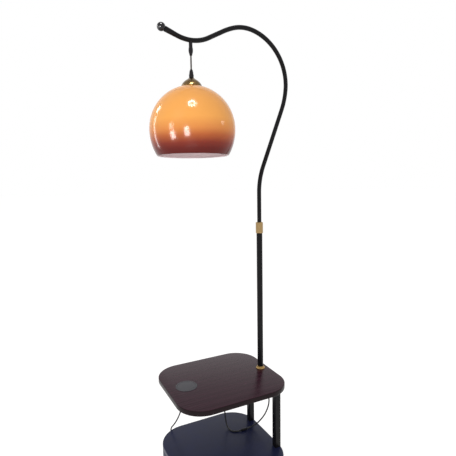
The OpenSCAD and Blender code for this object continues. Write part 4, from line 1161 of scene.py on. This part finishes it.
def make_connector():
    """A small in-line barrel connector on the lamp's lead."""
    box = extents("lead_connector")
    r = box.height / 2 / MM
    length = 2 * box.r / MM
    half = [(0, 0), (2.6, 0), (2.9, 0.6)]
    for k in range(3):
        x = 1.2 + 1.6 * k
        rib = r - 0.9 + 0.3 * k
        half += [(rib, x), (rib, x + 0.9), (r - 1.3, x + 1.1), (r - 1.3, x + 1.5)]
    half += [(r, 6.4), (r, length / 2 - 0.5), (r - 0.5, length / 2)]
    whole = millimetres(*half, *((a, length - b) for a, b in half[::-1]))
    place = at(box.low.x, box.middle.y, box.middle.z) @ Matrix.Rotation(math.pi / 2, 4, "Y")
    return turned(
        "barrel_joint", rounded_profile(whole, 0.3 * MM, 2), place, 36,
        "stand", "black_plastic", "lead_connector",
    )


def make_coil_tie():
    """A soft band round the coil's turns."""
    turn = Matrix.Rotation(math.radians(205), 4, "Z")
    middle = at(COIL_X * MM, COIL_Y * MM, 0) @ turn @ at(COIL_MID_R * MM, 0, 0)
    rings = []
    for y in (-3, 3):
        for half, low, high, c in ((8.3, 0.02, 10.2, 2.6), (7.6, 0.16, 9.5, 2.0)):
            tall, centre = (high - low) / 2, (high + low) / 2
            outline = loop_outline(half * MM, tall * MM, c * MM, 6)
            rings.append([(x, y * MM, z + centre * MM) for x, z in outline])
    bm = bmesh.new()
    layers(bm, [rings[1], rings[0], rings[2], rings[3]], middle, closed=True)
    return add("coil_band", bm, "stand", "black_plastic", None, board_black)


# ---------- all together ----------

lamp_length, supply_length = make_cords()
print("cord lengths", round(lamp_length, 3), round(supply_length, 3))
make_cabinet()
for level in ("upper", "lower"):
    make_drawer(level)
make_posts()
make_tabletop()
make_reliefs()
make_pole()
make_neck()
make_pendant()
make_shade()
make_holder()
make_ring_nut()
make_bulb()


# ---------- stage ----------


def seen_directly(tree):
    """1 for rays from the camera, and for those that metal and glass send on."""
    rays = node(tree, "ShaderNodeLightPath")
    first = node(tree, "ShaderNodeMath", operation="MAXIMUM")
    both = node(tree, "ShaderNodeMath", operation="MAXIMUM")
    join(tree, rays, "Is Camera Ray", first, 0)
    join(tree, rays, "Is Glossy Ray", first, 1)
    join(tree, first, "Value", both, 0)
    join(tree, rays, "Is Transmission Ray", both, 1)
    return both


def make_stage():
    bm = bmesh.new()
    bmesh.ops.create_grid(bm, x_segments=1, y_segments=1, size=60)
    mesh = bpy.data.meshes.new("floor")
    bm.to_mesh(mesh)
    bm.free()
    floor = bpy.data.objects.new("floor", mesh)
    scene.collection.objects.link(floor)
    material, tree, shader = new_material("floor")
    dial(shader, Base_Color=(0.80, 0.80, 0.80, 1), Roughness=0.9)
    dial(shader, Specular_IOR_Level=0.0, Emission_Color=(1, 1, 1, 1))
    seen = seen_directly(tree)
    glow = node(tree, "ShaderNodeMath", operation="MULTIPLY")
    glow.inputs[1].default_value = FLOOR_GLOW
    join(tree, seen, "Value", glow, 0)
    join(tree, glow, "Value", shader, "Emission Strength")
    mesh.materials.append(material)


def make_world():
    world = bpy.data.worlds.new("studio")
    scene.world = world
    world.use_nodes = True
    tree = world.node_tree
    plain = tree.nodes["Background"]
    dial(plain, Color=(1.0, 0.985, 0.97, 1), Strength=WORLD_LIGHT)
    white = node(tree, "ShaderNodeBackground")
    dial(white, Color=(1, 1, 1, 1), Strength=1.0)
    either = node(tree, "ShaderNodeMixShader")
    join(tree, seen_directly(tree), "Value", either, 0)
    join(tree, plain, 0, either, 1)
    join(tree, white, 0, either, 2)
    join(tree, either, 0, tree.nodes["World Output"], "Surface")


def area_light(name, place, target, width, height, power, spin=0, shown=False):
    """A soft lamp, or one that is shown only as a reflection in the glass, the cap and the ball."""
    data = bpy.data.lights.new(name, "AREA")
    data.shape = "RECTANGLE"
    data.size = width
    data.size_y = height
    data.energy = power
    light = bpy.data.objects.new(name, data)
    place, target = Vector(place), Vector(target)
    light.matrix_world = (
        Matrix.Translation(place) @ (place - target).to_track_quat("Z", "Y").to_matrix().to_4x4()
        @ Matrix.Rotation(math.radians(spin), 4, "Z")
    )
    light.visible_diffuse = not shown
    light.visible_glossy = shown
    light.visible_camera = False
    if shown:
        light.light_linking.receiver_collection = glossy_parts
    scene.collection.objects.link(light)


def pixel_ray(px, py):
    """The camera's ray through a place in the 456-pixel picture."""
    turn = scene.camera.matrix_world.to_3x3()
    across = (px - IMAGE_SIZE / 2) / FOCAL_PIXELS
    down = (py - IMAGE_SIZE / 2) / FOCAL_PIXELS
    return (turn @ Vector((across, -down, -1))).normalized()


def window_on_glass(name, px, py, width, height, power, spin=0):
    """A lamp whose reflection in the shade falls on one place in the picture."""
    distance = 1.6
    ray = pixel_ray(px, py)
    centre = Vector((CAP.middle.x, 0, SHADE_Z))
    to_centre = centre - CAMERA_AT
    along = to_centre.dot(ray)
    gap = math.sqrt(max(SHADE_R**2 - (to_centre.length_squared - along**2), 0))
    spot = CAMERA_AT + ray * (along - gap)
    normal = (spot - centre).normalized()
    away = ray - 2 * ray.dot(normal) * normal
    area_light(name, spot + away * distance, spot, width, height, power, spin, shown=True)


FLOOR_GLOW = 0.54  # brings the lit floor up to white where it is seen
WORLD_LIGHT = 0.60
glossy_parts = bpy.data.collections.new("glossy_parts")
for name in ("glass_globe", "bell_cap", "ball_knob"):
    glossy_parts.objects.link(bpy.data.objects[name])

make_stage()
make_world()
area_light("key", (-2.4, -1.4, 2.7), (0, 0, 1.0), 1.4, 1.8, 42)
area_light("fill", (1.6, -2.6, 1.6), (0, 0, 0.8), 1.6, 1.6, 12)
area_light("low_fill", (-0.9, -1.7, 0.15), (-0.1, 0, 1.2), 1.0, 0.6, 14)
# The ceiling lamp's ring: its middle and its half axes in the picture
RING_LAMPS = 12
RING_X, RING_Y, RING_WIDE, RING_TALL = 192.2, 103.1, 3.2, 2.4
for k in range(RING_LAMPS):
    turn = 2 * math.pi * k / RING_LAMPS
    px, py = RING_X + RING_WIDE * math.cos(turn), RING_Y + RING_TALL * math.sin(turn)
    window_on_glass(f"ceiling_ring_{k}", px, py, 0.14, 0.14, 2.5)
# Name, place in the picture, width and height in metres, power, turn in degrees
WINDOWS = (
    ("window_left_high", 171.2, 125.4, 0.36, 0.36, 7, 8),
    ("window_left_low", 172.8, 133.2, 0.36, 0.46, 23, 8),
    ("window_right", 186.9, 130.0, 0.36, 0.55, 28, 4),
    ("long_window_high", 158.4, 109.5, 0.22, 0.30, 4),
    ("long_window_low", 154.6, 131.0, 0.16, 1.25, 7),
    ("small_lamp", 222.7, 122.7, 0.12, 0.12, 1.4),
)
for window in WINDOWS:
    window_on_glass(*window)
